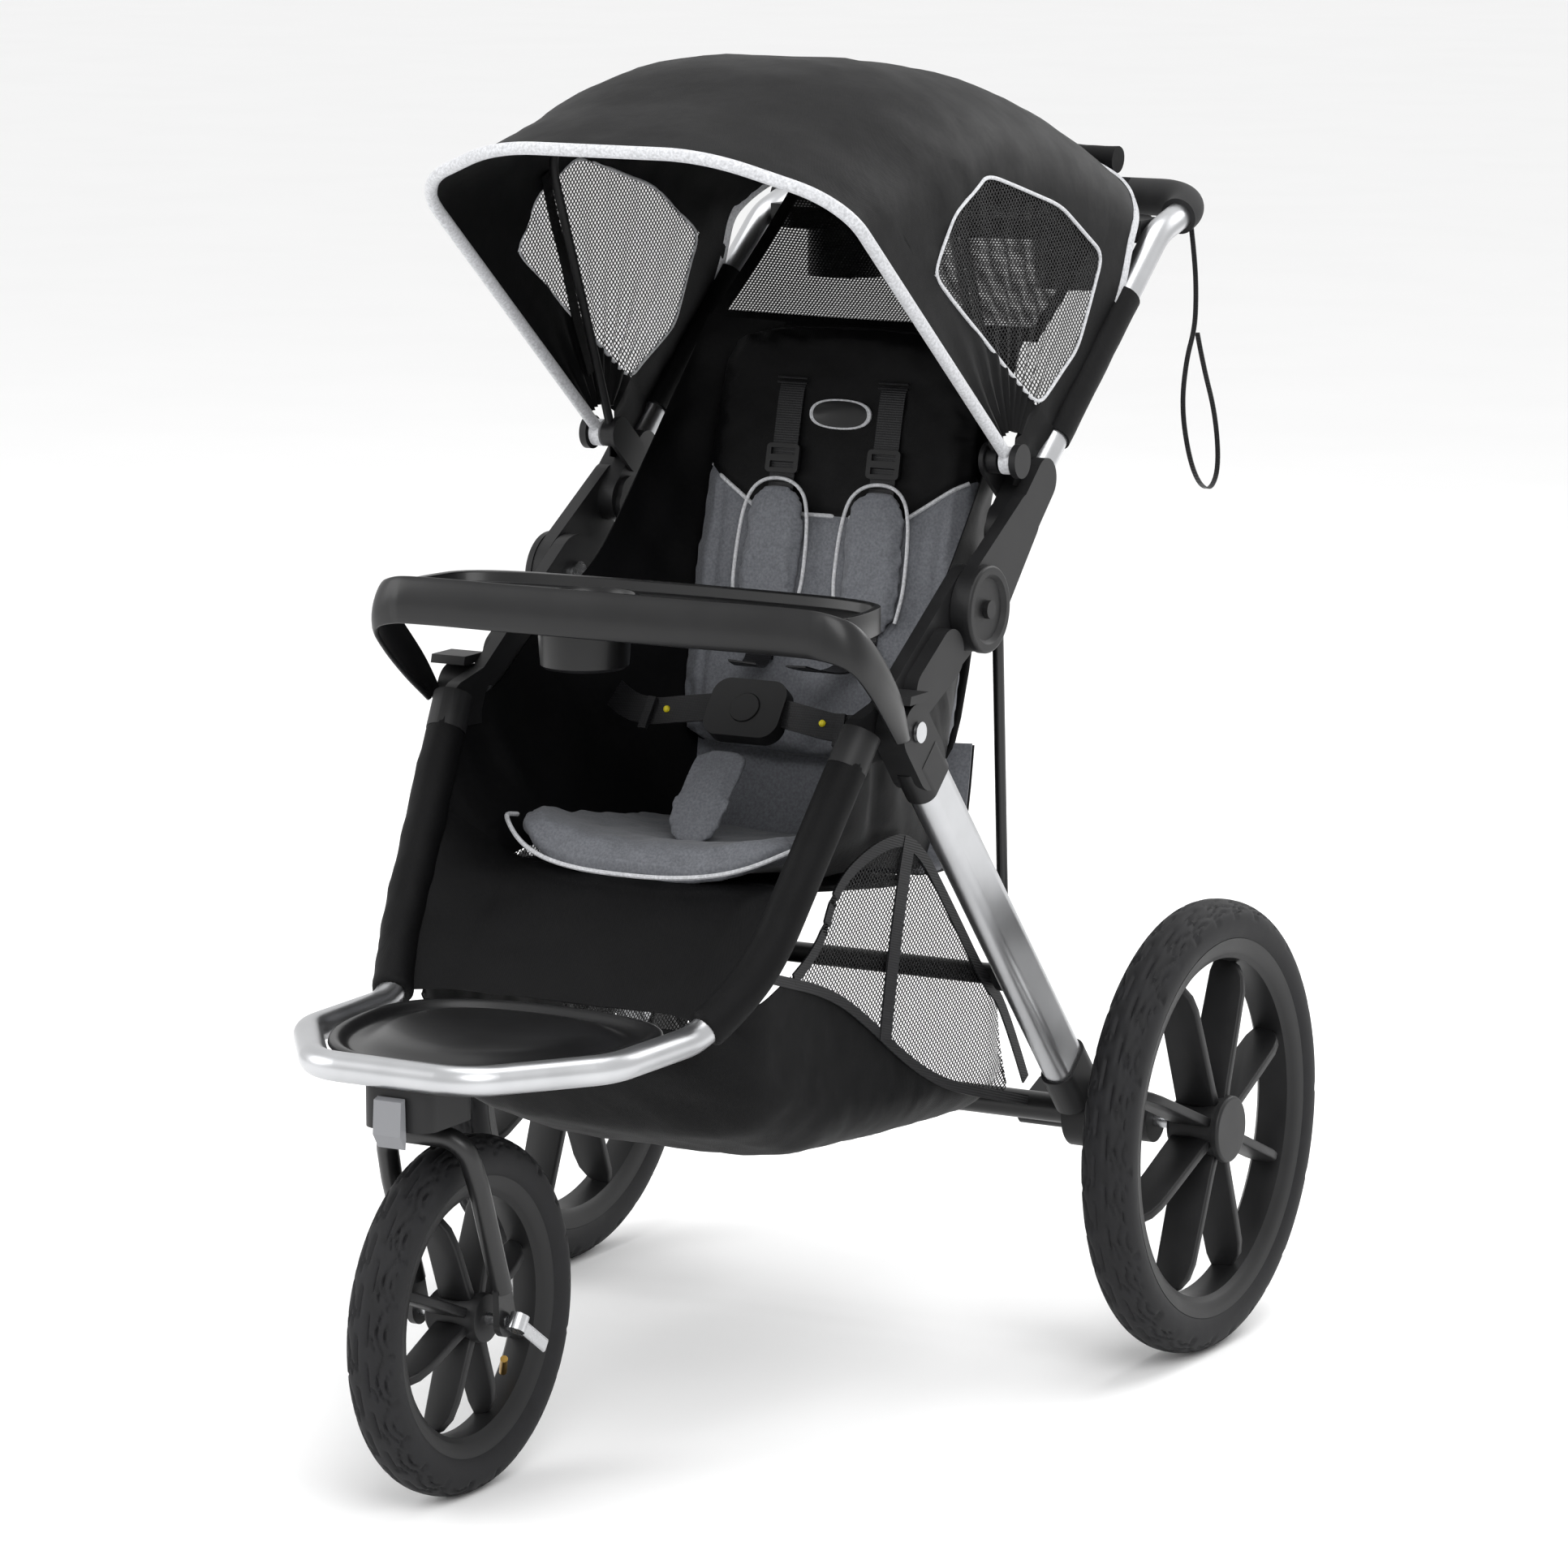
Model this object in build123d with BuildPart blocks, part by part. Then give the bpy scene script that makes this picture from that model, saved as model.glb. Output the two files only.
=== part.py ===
from build123d import *
import os
from math import cos, pi, radians, sin, tan

os.makedirs("parts", exist_ok=True)

# A three-wheeled jogging stroller that faces -Y and stands on z = 0.
# Side-view points are (y, z) pairs and +X is the child's left.

# Wheels
REAR_AXLE = (298, 202.5)
REAR_TRACK = 331
REAR_OD = 405
REAR_TYRE_W = 49
REAR_RIM_R = 163.3
FRONT_AXLE = (-407, 149.5)
FRONT_OD = 299
FRONT_TYRE_W = 45
FRONT_RIM_R = 112.3
SPOKES = 8
RUNNING = 0.05

# Side frame
SIDE_X = 203
ARM_INNER_X = 191
ARM_SPLIT_X = 203
BRACKET_OUTER_X = 215.5
LEG_X = 217
LEG_THICK = 26
LEG_WIDE = 48
HUB = (96, 684)
HUB_R = 37
ELBOW = (-50, 600)
CROSS = (211, 339)
ROD_TOP = (193, 705)
ROD_X = 178
ROD_R = 5
TUBE_R = 12.4
TUBE_WALL = 1.6

# Handle
TUBE_FOOT = (200, 771)
HANDLE_BEND = (452, 977)
BAR = (539.5, 1001)
GRIP_R = 17

# Front loop and fork
LOOP_Z = 372
LOOP_FRONT_Y = -509
STEERER_Y = -460
FORK_X = 42
FORK_TUBE_R = 9

# Seat
SEAT_FRONT = (-105, 462)
SEAT_TILT = 7.6
SEAT_DEPTH = 262
PAD_HALF = 150
PAD_THICK = 28
BACK_FOOT = (187, 500)
BACK_LEAN = 13.3
BACK_TALL = 418
SLING_X = 157

# Canopy: a fan about a cross axis, each rib given by its angle and its reach
CANOPY_PIVOT = (162, 804)
CANOPY_HALF = 205
CANOPY_FOOT_R = 26
CANOPY_SKIN = 2.5
CANOPY_RIBS = {139.5: 443, 126.5: 390, 112: 362, 90: 339, 62: 351, 37: 402}
RIB_RADII = [75, 150, 150, 75]
BRIM_R = 5.5

# Wrist strap
STRAP_CORD_R = 2

# Child tray
TRAY_FRONT_Y = -174
TRAY_HALF = 240
TRAY_Z = (674, 713)
TRAY_ARM_X = 226
TRAY_CUP = (-57, -112)
TRAY_CUP_R = 44

back_lean = radians(BACK_LEAN)
seat_tilt = radians(SEAT_TILT)
back_plane = Plane(
    origin=(0, *BACK_FOOT), x_dir=(1, 0, 0), z_dir=(0, -cos(back_lean), sin(back_lean))
)
seat_plane = Plane(
    origin=(0, *SEAT_FRONT), x_dir=(1, 0, 0), z_dir=(0, -sin(seat_tilt), cos(seat_tilt))
)


def save(builder, name):
    """Label a finished piece and write it."""
    builder.part.label = name
    export_step(builder.part, f"parts/{name}.step")


def side(x):
    """The side-view plane at x: its sketches are drawn in (y, z)."""
    return Plane.YZ.offset(x)


def along(start, end):
    """A plane at start whose normal points to end."""
    return Plane(origin=start, z_dir=Vector(*end) - Vector(*start))


def cross_pin(point, radius, x_from, x_to):
    """A round pin along X, inside the current part."""
    with BuildSketch(side(x_from)) as outline:
        with Locations(point):
            Circle(radius)
    extrude(outline.sketch, amount=x_to - x_from)


def cross_bore(point, radius, x_from, x_to):
    """A round hole along X, cut from the current part."""
    with BuildSketch(side(x_from)) as outline:
        with Locations(point):
            Circle(radius)
    extrude(outline.sketch, amount=x_to - x_from, mode=Mode.SUBTRACT)


def link_plate(first, first_r, second, second_r, x_from, x_to):
    """A plate with two round ends, inside the current part."""
    with BuildSketch(side(x_from)) as outline:
        with Locations(first):
            Circle(first_r)
        with Locations(second):
            Circle(second_r)
        make_hull()
    extrude(outline.sketch, amount=x_to - x_from)


def tube_section(outer, wall):
    """The ring section of a round tube, inside the current sketch."""
    Circle(outer)
    Circle(outer - wall, mode=Mode.SUBTRACT)


# ---------------------------------------------------------------- front frame

loop_side_x = 147
loop_points = [
    (200, -98, 596),
    (178, -214, 428),
    (150, -276, LOOP_Z),
    (loop_side_x, -408, LOOP_Z),
    (72, LOOP_FRONT_Y, LOOP_Z),
]
loop_path_points = loop_points + [(-x, y, z) for x, y, z in reversed(loop_points)]
loop_radii = [90, 60, 60, 48, 48, 60, 60, 90]

with BuildPart() as front_tube:
    with BuildLine() as loop_line:
        FilletPolyline(*loop_path_points, radius=loop_radii)
    with BuildSketch(along(loop_points[0], loop_points[1])):
        tube_section(TUBE_R, TUBE_WALL)
    sweep()
save(front_tube, "front_tube")

# Fabric sleeves round the sloping sides of the front tube
sleeve_top = Vector(*loop_points[0]) * 0.83 + Vector(*loop_points[1]) * 0.17
sleeve_end = Vector(*loop_points[1]) * 0.4 + Vector(*loop_points[2]) * 0.6
with BuildPart() as leg_sleeves:
    with BuildLine():
        FilletPolyline(sleeve_top, loop_points[1], sleeve_end, radius=loop_radii[0])
    with BuildSketch(Plane(origin=sleeve_top, z_dir=Vector(*loop_points[1]) - sleeve_top)):
        Circle(TUBE_R + 4)
        Circle(TUBE_R + 0.3, mode=Mode.SUBTRACT)
    sweep()
    mirror(about=Plane.YZ)
save(leg_sleeves, "leg_sleeves")

# Hub arms: each runs from the fold hub to the elbow and takes the front tube in a socket
socket_length = 34
with BuildPart() as hub_arms:
    link_plate(HUB, HUB_R, ELBOW, 25, ARM_INNER_X, ARM_SPLIT_X - 0.3)
    link_plate((40, 652), 22, (-4, 627), 19, ARM_SPLIT_X - 0.3, BRACKET_OUTER_X)
    link_plate(ELBOW, 25, (-92, 596), 20, ARM_INNER_X, ARM_SPLIT_X - 0.3)
    with BuildSketch(along(loop_points[0], loop_points[1]).offset(-8)):
        Circle(TUBE_R + 5)
    extrude(amount=socket_length)
    with BuildSketch(along(loop_points[0], loop_points[1])):
        Circle(TUBE_R + RUNNING)
    extrude(amount=socket_length + 10, mode=Mode.SUBTRACT)
    cross_bore(HUB, 8 + RUNNING, 180, 240)
    cross_bore(ELBOW, 6 + RUNNING, 180, 240)
    mirror(about=Plane.YZ)
save(hub_arms, "hub_arms")

with BuildPart() as elbow_pins:
    cross_pin(ELBOW, 6, ARM_INNER_X, 232)
    cross_pin(ELBOW, 9, 232, 235)
    mirror(about=Plane.YZ)
save(elbow_pins, "elbow_pins")

# Moulded foot tray inside the front loop
with BuildPart() as footrest:
    with BuildSketch(Plane.XY.offset(LOOP_Z - 8)):
        with BuildLine():
            FilletPolyline(
                (-130, -248), (-130, -398), (-62, -492), (62, -492), (130, -398),
                (130, -248), radius=45
            )
            Line((130, -248), (-130, -248))
        make_face()
    extrude(amount=14)
    with BuildSketch(Plane.XY.offset(LOOP_Z - 3)):
        with BuildLine():
            FilletPolyline(
                (-118, -256), (-118, -392), (-56, -480), (56, -480), (118, -392),
                (118, -256), radius=38
            )
            Line((118, -256), (-118, -256))
        make_face()
    extrude(amount=14, taper=-12, mode=Mode.SUBTRACT)
save(footrest, "footrest")

# Head block that carries the fork below the front of the loop
with BuildPart() as head_block:
    with BuildSketch(Plane.XY.offset(324)):
        with Locations((0, -468)):
            RectangleRounded(66, 76, 16)
    extrude(amount=LOOP_Z - 8 - 0.2 - 324)
    with BuildSketch(Plane.YZ):
        with Locations((LOOP_FRONT_Y, LOOP_Z)):
            Circle(TUBE_R + 0.1)
    extrude(amount=60, both=True, mode=Mode.SUBTRACT)
    with BuildSketch(Plane.XY.offset(320)):
        with Locations((0, STEERER_Y)):
            Circle(10 + RUNNING)
    extrude(amount=30, mode=Mode.SUBTRACT)
save(head_block, "head_block")

# Soft seat, its front drop and the side slings
with BuildPart() as seat_pad:
    with BuildSketch(seat_plane):
        with BuildLine():
            Polyline((-PAD_HALF, 30), (-PAD_HALF, SEAT_DEPTH), (PAD_HALF, SEAT_DEPTH), (PAD_HALF, 30))
            ThreePointArc((PAD_HALF, 30), (0, 0), (-PAD_HALF, 30))
        make_face()
    extrude(amount=-PAD_THICK)
    fillet(seat_pad.edges().group_by(Axis.Z)[-1], 8)
save(seat_pad, "seat_pad")

with BuildPart() as seat_base:
    with BuildSketch(seat_plane.offset(-PAD_THICK - 0.4)):
        with Locations((0, SEAT_DEPTH / 2 + 12)):
            Rectangle(2 * SLING_X - 6, SEAT_DEPTH - 24)
    extrude(amount=-5)
save(seat_base, "seat_base")

calf_top = (-106, 432)
calf_foot = (-238, 386)
calf_plane = Plane(
    origin=(0, *calf_foot),
    x_dir=(1, 0, 0),
    z_dir=(0, calf_foot[1] - calf_top[1], calf_top[0] - calf_foot[0]),
)
calf_length = (Vector(*calf_top) - Vector(*calf_foot)).length
with BuildPart() as calf_panel:
    with BuildSketch(calf_plane):
        Polygon((-118, 0), (118, 0), (146, calf_length), (-146, calf_length), align=None)
    extrude(amount=-5)
save(calf_panel, "calf_panel")

sling_outline = [(-100, 440), (160, 474), (282, 868), (236, 872), (92, 628), (-58, 520)]
with BuildPart() as side_slings:
    with BuildSketch(side(SLING_X - 3)):
        with BuildLine():
            Polyline(*sling_outline, close=True)
        make_face()
    extrude(amount=3)
    mirror(about=Plane.YZ)
save(side_slings, "side_slings")

# Basket under the seat: open at the top, with its rear wall on the cross tube
basket_outline = [
    (-240, 372), (-228, 332), (-172, 264), (-94, 228), (60, 214), (262, 204),
    (276, 214), (228, 316), (196, 322), (72, 490), (-4, 494), (-104, 416),
]
basket_hollow = [
    (-235, 520), (-225, 333), (-170, 267), (-93, 231), (60, 217), (260, 207),
    (272, 215), (224, 313), (194, 330), (72, 520),
]
with BuildPart() as basket:
    with BuildSketch(side(-169)):
        with BuildLine():
            Polyline(*basket_outline, close=True)
        make_face()
    extrude(amount=338)
    with BuildSketch(side(-166)):
        with BuildLine():
            Polyline(*basket_hollow, close=True)
        make_face()
    extrude(amount=332, mode=Mode.SUBTRACT)
save(basket, "basket")

# Harness parts that stay with the seat
buckle_plane = Plane(origin=(0, 62, 586), x_dir=(1, 0, 0), z_dir=(0, -0.8, 0.6))
with BuildPart() as buckle:
    with BuildSketch(buckle_plane):
        RectangleRounded(74, 56, 16)
    extrude(amount=-15)
    with BuildSketch(buckle_plane):
        Circle(14.3)
    extrude(amount=-6, mode=Mode.SUBTRACT)
save(buckle, "buckle")

with BuildPart() as buckle_button:
    with BuildSketch(buckle_plane.offset(-3.5)):
        Circle(14)
    extrude(amount=5)
    fillet(buckle_button.edges().group_by(Axis.Z)[-1], 1)
save(buckle_button, "buckle_button")

with BuildPart() as waist_straps:
    with BuildSketch(buckle_plane.offset(-6)):
        with Locations((37.5 + 49, 0)):
            Rectangle(98, 25)
    extrude(amount=-2.5)
    mirror(about=Plane.YZ)
save(waist_straps, "waist_straps")

crotch_foot = (-38, 481)
crotch_top = (30, 552)
crotch_run = Vector(0, *crotch_top) - Vector(0, *crotch_foot)
with BuildPart() as crotch_pad:
    with BuildSketch(Plane(origin=(0, *crotch_foot), x_dir=(1, 0, 0), z_dir=crotch_run)):
        RectangleRounded(60, 12, 5)
    extrude(amount=crotch_run.length)
save(crotch_pad, "crotch_pad")

# ---------------------------------------------------------------- rear frame

leg_top = Vector(ELBOW[0], ELBOW[1])
leg_foot = Vector(*REAR_AXLE)
leg_dir = (leg_foot - leg_top).normalized()
leg_start = leg_top + leg_dir * 66
leg_end = leg_foot - leg_dir * 74


def leg_plane(point):
    """A plane across the rear leg, with its first direction along X."""
    return Plane(
        origin=(LEG_X, point.X, point.Y),
        x_dir=(1, 0, 0),
        z_dir=(0, leg_dir.X, leg_dir.Y),
    )


with BuildPart() as rear_legs:
    with BuildSketch(leg_plane(leg_start)):
        RectangleRounded(LEG_THICK, LEG_WIDE, LEG_THICK / 2 - 0.5)
        RectangleRounded(LEG_THICK - 4, LEG_WIDE - 4, LEG_THICK / 2 - 2.5, mode=Mode.SUBTRACT)
    extrude(amount=(leg_end - leg_start).length)
    cross_bore(CROSS, 9.6, 195, 212)
    mirror(about=Plane.YZ)
save(rear_legs, "rear_legs")

with BuildPart() as leg_tops:
    link_plate(ELBOW, 24, (leg_start.X - 18, leg_start.Y + 20), 24, ARM_SPLIT_X + 0.3, 231)
    with BuildSketch(leg_plane(leg_top + leg_dir * 30)):
        RectangleRounded(LEG_THICK + 3, LEG_WIDE + 3, 13)
    extrude(amount=36)
    cross_bore(ELBOW, 6 + RUNNING, 195, 240)
    mirror(about=Plane.YZ)
save(leg_tops, "leg_tops")

with BuildPart() as cross_tube:
    with BuildSketch(side(-211)):
        with Locations(CROSS):
            tube_section(9.5, 1.5)
    extrude(amount=422)
save(cross_tube, "cross_tube")

# Axle housings: each takes the leg's foot and the axle tube's end
with BuildPart() as axle_housings:
    with BuildSketch(leg_plane(leg_end)):
        RectangleRounded(LEG_THICK + 5, LEG_WIDE + 5, 14)
    extrude(amount=44)
    cross_pin(REAR_AXLE, 31, 207, 262)
    cross_pin(REAR_AXLE, 20, 262, 286)
    cross_bore(REAR_AXLE, 13, 200, 232)
    cross_bore(REAR_AXLE, 6 + RUNNING, 200, 300)
    mirror(about=Plane.YZ)
save(axle_housings, "axle_housings")

with BuildPart() as axle_tube:
    with BuildSketch(side(-231.5)):
        with Locations(REAR_AXLE):
            tube_section(12.9, 3)
    extrude(amount=463)
save(axle_tube, "axle_tube")

with BuildPart() as rear_axle:
    cross_pin(REAR_AXLE, 6, -348, 348)
save(rear_axle, "rear_axle")

# Parking brake: one bar behind the axle tube with a foot pedal at its end
BRAKE = (338, 186)
with BuildPart() as brake_bar:
    cross_pin(BRAKE, 5, -240, 240)
save(brake_bar, "brake_bar")

with BuildPart() as brake_brackets:
    link_plate((REAR_AXLE[0] + 18, REAR_AXLE[1] - 6), 15, BRAKE, 10, 240.5, 252)
    cross_bore(REAR_AXLE, 31.1, 200, 290)
    mirror(about=Plane.YZ)
save(brake_brackets, "brake_brackets")

with BuildPart() as brake_pedal:
    with BuildSketch(side(132)):
        with Locations(BRAKE):
            Circle(11)
        with BuildLine():
            Polyline((330, 194), (344, 178), (378, 204), (372, 211), close=True)
        make_face()
    extrude(amount=62)
    cross_bore(BRAKE, 5 + RUNNING, 120, 210)
save(brake_pedal, "brake_pedal")

# Link rods from the handle brackets down to the cross tube
rod_run = Vector(0, *ROD_TOP) - Vector(0, *CROSS)
with BuildPart() as link_rods:
    with BuildSketch(Plane(origin=(ROD_X, *CROSS), z_dir=rod_run)):
        Circle(ROD_R)
    extrude(amount=rod_run.length)
    cross_pin(ROD_TOP, 10, ROD_X - ROD_R + 1, ROD_X + ROD_R - 1)
    cross_pin(CROSS, 14, ROD_X - ROD_R + 1, ROD_X + ROD_R - 1)
    cross_bore(CROSS, 9.5 + RUNNING, 160, 195)
    mirror(about=Plane.YZ)
save(link_rods, "link_rods")


# ---------------------------------------------------------------- wheels

def wheel_plane(centre):
    """A plane through the axle line: sketches are (along the axle, radius)."""
    return Plane(origin=centre, x_dir=(1, 0, 0), z_dir=(0, -1, 0))


def make_tyre(name, centre, outer_d, width, rim_r):
    middle = (outer_d / 2 + rim_r + 0.2) / 2
    tall = outer_d / 2 - middle
    with BuildPart() as tyre:
        with BuildSketch(wheel_plane(centre)):
            with Locations((0, middle)):
                Ellipse(width / 2, tall)
        revolve(axis=Axis(centre, (1, 0, 0)))
    save(tyre, f"{name}_tyre")


def make_rim(name, centre, rim_r, half_w, hub_r, hub_half, bore_r, spoke_w):
    with BuildPart() as rim:
        with BuildSketch(wheel_plane(centre)):
            with BuildLine():
                Polyline(
                    (-half_w, rim_r - 9), (-half_w, rim_r - 1), (-half_w + 4, rim_r),
                    (half_w - 4, rim_r), (half_w, rim_r - 1), (half_w, rim_r - 9),
                    (half_w - 5, rim_r - 17), (-half_w + 5, rim_r - 17), close=True,
                )
            make_face()
            with Locations((0, hub_r / 2)):
                Rectangle(2 * hub_half, hub_r)
        revolve(axis=Axis(centre, (1, 0, 0)))
        for k in range(SPOKES):
            turn = radians(360 / SPOKES * (k + 0.5))
            blade = Plane(origin=centre, x_dir=(1, 0, 0), z_dir=(0, -cos(turn), -sin(turn)))
            with BuildSketch(blade):
                Polygon(
                    (-spoke_w, hub_r - 2), (spoke_w, hub_r - 2),
                    (spoke_w - 2, rim_r - 14), (-spoke_w + 6, rim_r - 14), align=None,
                )
            extrude(amount=4.5, both=True)
        cross_bore((centre[1], centre[2]), bore_r, centre[0] - 60, centre[0] + 60)
    save(rim, f"{name}_rim")


for name, sign in (("rear_left", 1), ("rear_right", -1)):
    centre = (sign * REAR_TRACK, *REAR_AXLE)
    make_tyre(name, centre, REAR_OD, REAR_TYRE_W, REAR_RIM_R)
    make_rim(name, centre, REAR_RIM_R, 17, 27, 24, 6 + RUNNING, 17)
    with BuildPart() as hub_cap:
        with BuildSketch(side(centre[0] + sign * 24.2)):
            with Locations(REAR_AXLE):
                Circle(30)
        extrude(amount=sign * 6)
        fillet(hub_cap.edges().sort_by(Axis.X)[-1 if sign > 0 else 0], 3)
    save(hub_cap, f"{name}_hub_cap")

front_centre = (0, *FRONT_AXLE)
make_tyre("front", front_centre, FRONT_OD, FRONT_TYRE_W, FRONT_RIM_R)
make_rim("front", front_centre, FRONT_RIM_R, 15, 21, 27, 5 + RUNNING, 13)

valve_turn = radians(-45)
valve_base = Vector(0, FRONT_AXLE[0] + 90 * cos(valve_turn), FRONT_AXLE[1] + 90 * sin(valve_turn))
with BuildPart() as front_valve:
    with BuildSketch(Plane(origin=valve_base, z_dir=(0.5, -cos(valve_turn), -sin(valve_turn)))):
        Circle(3.2)
    extrude(amount=26)
save(front_valve, "front_valve")

# ---------------------------------------------------------------- fork

crown_z = 312
fork_points = [
    (FORK_X, FRONT_AXLE[0] - 4, 176),
    (FORK_X, -444, 268),
    (FORK_X - 4, STEERER_Y, crown_z),
    (-FORK_X + 4, STEERER_Y, crown_z),
    (-FORK_X, -444, 268),
    (-FORK_X, FRONT_AXLE[0] - 4, 176),
]
with BuildPart() as fork:
    with BuildLine():
        FilletPolyline(*fork_points, radius=[60, 22, 22, 60])
    with BuildSketch(along(fork_points[0], fork_points[1])):
        Circle(FORK_TUBE_R)
    sweep()
    for sign in (1, -1):
        with BuildSketch(side(sign * FORK_X - 3)):
            with Locations(FRONT_AXLE):
                Circle(13)
            with Locations((FRONT_AXLE[0] - 5, 184)):
                Circle(9)
            make_hull()
        extrude(amount=6)
    cross_bore(FRONT_AXLE, 5 + RUNNING, -60, 60)
save(fork, "fork")

with BuildPart() as steerer:
    with BuildSketch(Plane.XY.offset(crown_z + FORK_TUBE_R)):
        with Locations((0, STEERER_Y)):
            Circle(10)
    extrude(amount=28)
    with BuildSketch(Plane.XY.offset(crown_z + FORK_TUBE_R)):
        with Locations((0, STEERER_Y)):
            Circle(16)
    extrude(amount=2.5)
save(steerer, "steerer")

with BuildPart() as front_axle:
    cross_pin(FRONT_AXLE, 5, -54, 45.8)
    cross_pin(FRONT_AXLE, 9, -51, -45.2)
save(front_axle, "front_axle")

# Quick-release cam lever: its barrel turns across the axle's end
lever_pivot = (54.5, *FRONT_AXLE)
lever_dir = Vector(0, 0.82, -0.57).normalized()
lever_axis = Vector(1, 0, 0).cross(lever_dir)
with BuildPart() as quick_release:
    with BuildSketch(Plane(origin=lever_pivot, z_dir=lever_axis)):
        Circle(8)
    extrude(amount=7, both=True)
    with BuildSketch(Plane(origin=lever_pivot, x_dir=(1, 0, 0), z_dir=lever_dir)):
        RectangleRounded(5, 12, 2.2)
    extrude(amount=50)
save(quick_release, "quick_release")

with BuildPart() as swivel_lock:
    with BuildSketch(side(-13)):
        with BuildLine():
            Polyline((-508, 352), (-514, 350), (-516, 322), (-508, 310), (-507, 318), close=True)
        make_face()
    extrude(amount=26)
save(swivel_lock, "swivel_lock")

# ---------------------------------------------------------------- handle frame

handle_start = (SIDE_X, *TUBE_FOOT)
handle_path_points = [
    handle_start,
    (SIDE_X, *HANDLE_BEND),
    (SIDE_X, *BAR),
    (-SIDE_X, *BAR),
    (-SIDE_X, *HANDLE_BEND),
    (-SIDE_X, *TUBE_FOOT),
]
bar_radii = [70, 40, 40, 70]
with BuildPart() as handle_tube:
    with BuildLine():
        FilletPolyline(*handle_path_points, radius=bar_radii)
    with BuildSketch(along(handle_start, handle_path_points[1])):
        tube_section(TUBE_R, TUBE_WALL)
    sweep()
save(handle_tube, "handle_tube")

bar_run = Vector(BAR[0] - HANDLE_BEND[0], BAR[1] - HANDLE_BEND[1]).normalized()
grip_start = (SIDE_X, BAR[0] - 46 * bar_run.X, BAR[1] - 46 * bar_run.Y)
grip_points = [
    grip_start, (SIDE_X, *BAR), (-SIDE_X, *BAR), (-SIDE_X, grip_start[1], grip_start[2])
]
with BuildPart() as foam_grip:
    with BuildLine():
        FilletPolyline(*grip_points, radius=40)
    with BuildSketch(along(grip_start, grip_points[1])):
        Circle(GRIP_R)
        Circle(TUBE_R + 0.1, mode=Mode.SUBTRACT)
    sweep()
save(foam_grip, "foam_grip")

# Handle brackets: the moving half of each fold hub, with a socket for the handle tube
ear = (ROD_TOP[0], ROD_TOP[1])
with BuildPart() as handle_brackets:
    link_plate(HUB, HUB_R, (180, 752), 22, ARM_SPLIT_X + 0.3, BRACKET_OUTER_X)
    link_plate((172, 744), 20, (214, 782), 19, ARM_INNER_X - 3, BRACKET_OUTER_X)
    link_plate((172, 740), 14, ear, 11, ROD_X + ROD_R + 0.5, ARM_INNER_X - 1)
    link_plate((176, 742), 16, (178, 748), 16, ROD_X + ROD_R + 0.5, ARM_INNER_X)
    with BuildSketch(along(handle_start, handle_path_points[1])):
        Circle(TUBE_R + RUNNING)
    extrude(amount=60, mode=Mode.SUBTRACT)
    cross_bore(HUB, 8 + RUNNING, 180, 240)
    mirror(about=Plane.YZ)
save(handle_brackets, "handle_brackets")

with BuildPart() as hub_pins:
    cross_pin(HUB, 8, ARM_INNER_X - 3, BRACKET_OUTER_X + 0.4)
    cross_pin(HUB, 13, ARM_INNER_X - 3, ARM_INNER_X - 0.3)
    mirror(about=Plane.YZ)
save(hub_pins, "hub_pins")

# Dished round covers on the outside of the hubs
with BuildPart() as hub_covers:
    cross_pin(HUB, HUB_R + 1, BRACKET_OUTER_X + 0.4, 223)
    fillet(hub_covers.edges().sort_by(Axis.X)[-1], 3)
    with BuildSketch(side(223)):
        with Locations(HUB):
            Circle(30)
    extrude(amount=-4, taper=40, mode=Mode.SUBTRACT)
    cross_pin(HUB, 8, 219, 224)
    mirror(about=Plane.YZ)
save(hub_covers, "hub_covers")

# Parent tray with two cup wells, between the handle tubes
tray_centre_y = 466
tray_top = 988
well_x = 118
with BuildPart() as parent_tray:
    with BuildSketch(Plane.XY.offset(tray_top - 20)):
        with Locations((0, tray_centre_y)):
            RectangleRounded(360, 80, 24)
            Rectangle(2 * (SIDE_X - TUBE_R), 44)
    extrude(amount=20)
    with BuildSketch(Plane.XY.offset(tray_top - 64)):
        with Locations((well_x, tray_centre_y), (-well_x, tray_centre_y)):
            Circle(40)
    extrude(amount=60)
    with BuildSketch(Plane.XY.offset(tray_top - 61)):
        with Locations((well_x, tray_centre_y), (-well_x, tray_centre_y)):
            Circle(37)
    extrude(amount=70, mode=Mode.SUBTRACT)
save(parent_tray, "parent_tray")

with BuildPart() as canopy_mounts:
    link_plate(CANOPY_PIVOT, 15, (188, 782), 15, 183.5, ARM_INNER_X - 3.4)
    cross_pin(CANOPY_PIVOT, 5, ARM_INNER_X - 3.4, 214)
    cross_pin(CANOPY_PIVOT, 15, 212.5, 219)
    mirror(about=Plane.YZ)
save(canopy_mounts, "canopy_mounts")

# ---------------------------------------------------------------- seat back

with BuildPart() as seat_back_pad:
    with BuildSketch(back_plane):
        with Locations((0, BACK_TALL / 2 + 8)):
            RectangleRounded(2 * PAD_HALF, BACK_TALL - 16, 45)
    extrude(amount=PAD_THICK)
    fillet(seat_back_pad.edges().group_by(Axis.Y)[0], 6)
save(seat_back_pad, "seat_back_pad")

with BuildPart() as seat_back_board:
    with BuildSketch(back_plane.offset(-5.4)):
        with Locations((0, BACK_TALL / 2)):
            RectangleRounded(2 * PAD_HALF - 16, BACK_TALL - 30, 38)
    extrude(amount=5)
save(seat_back_board, "seat_back_board")

STRAP_X = 51
with BuildPart() as shoulder_pads:
    with BuildSketch(back_plane.offset(PAD_THICK + 3.2)):
        with Locations((STRAP_X, 196)):
            RectangleRounded(66, 138, 16)
    extrude(amount=10)
    mirror(about=Plane.YZ)
save(shoulder_pads, "shoulder_pads")

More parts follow.
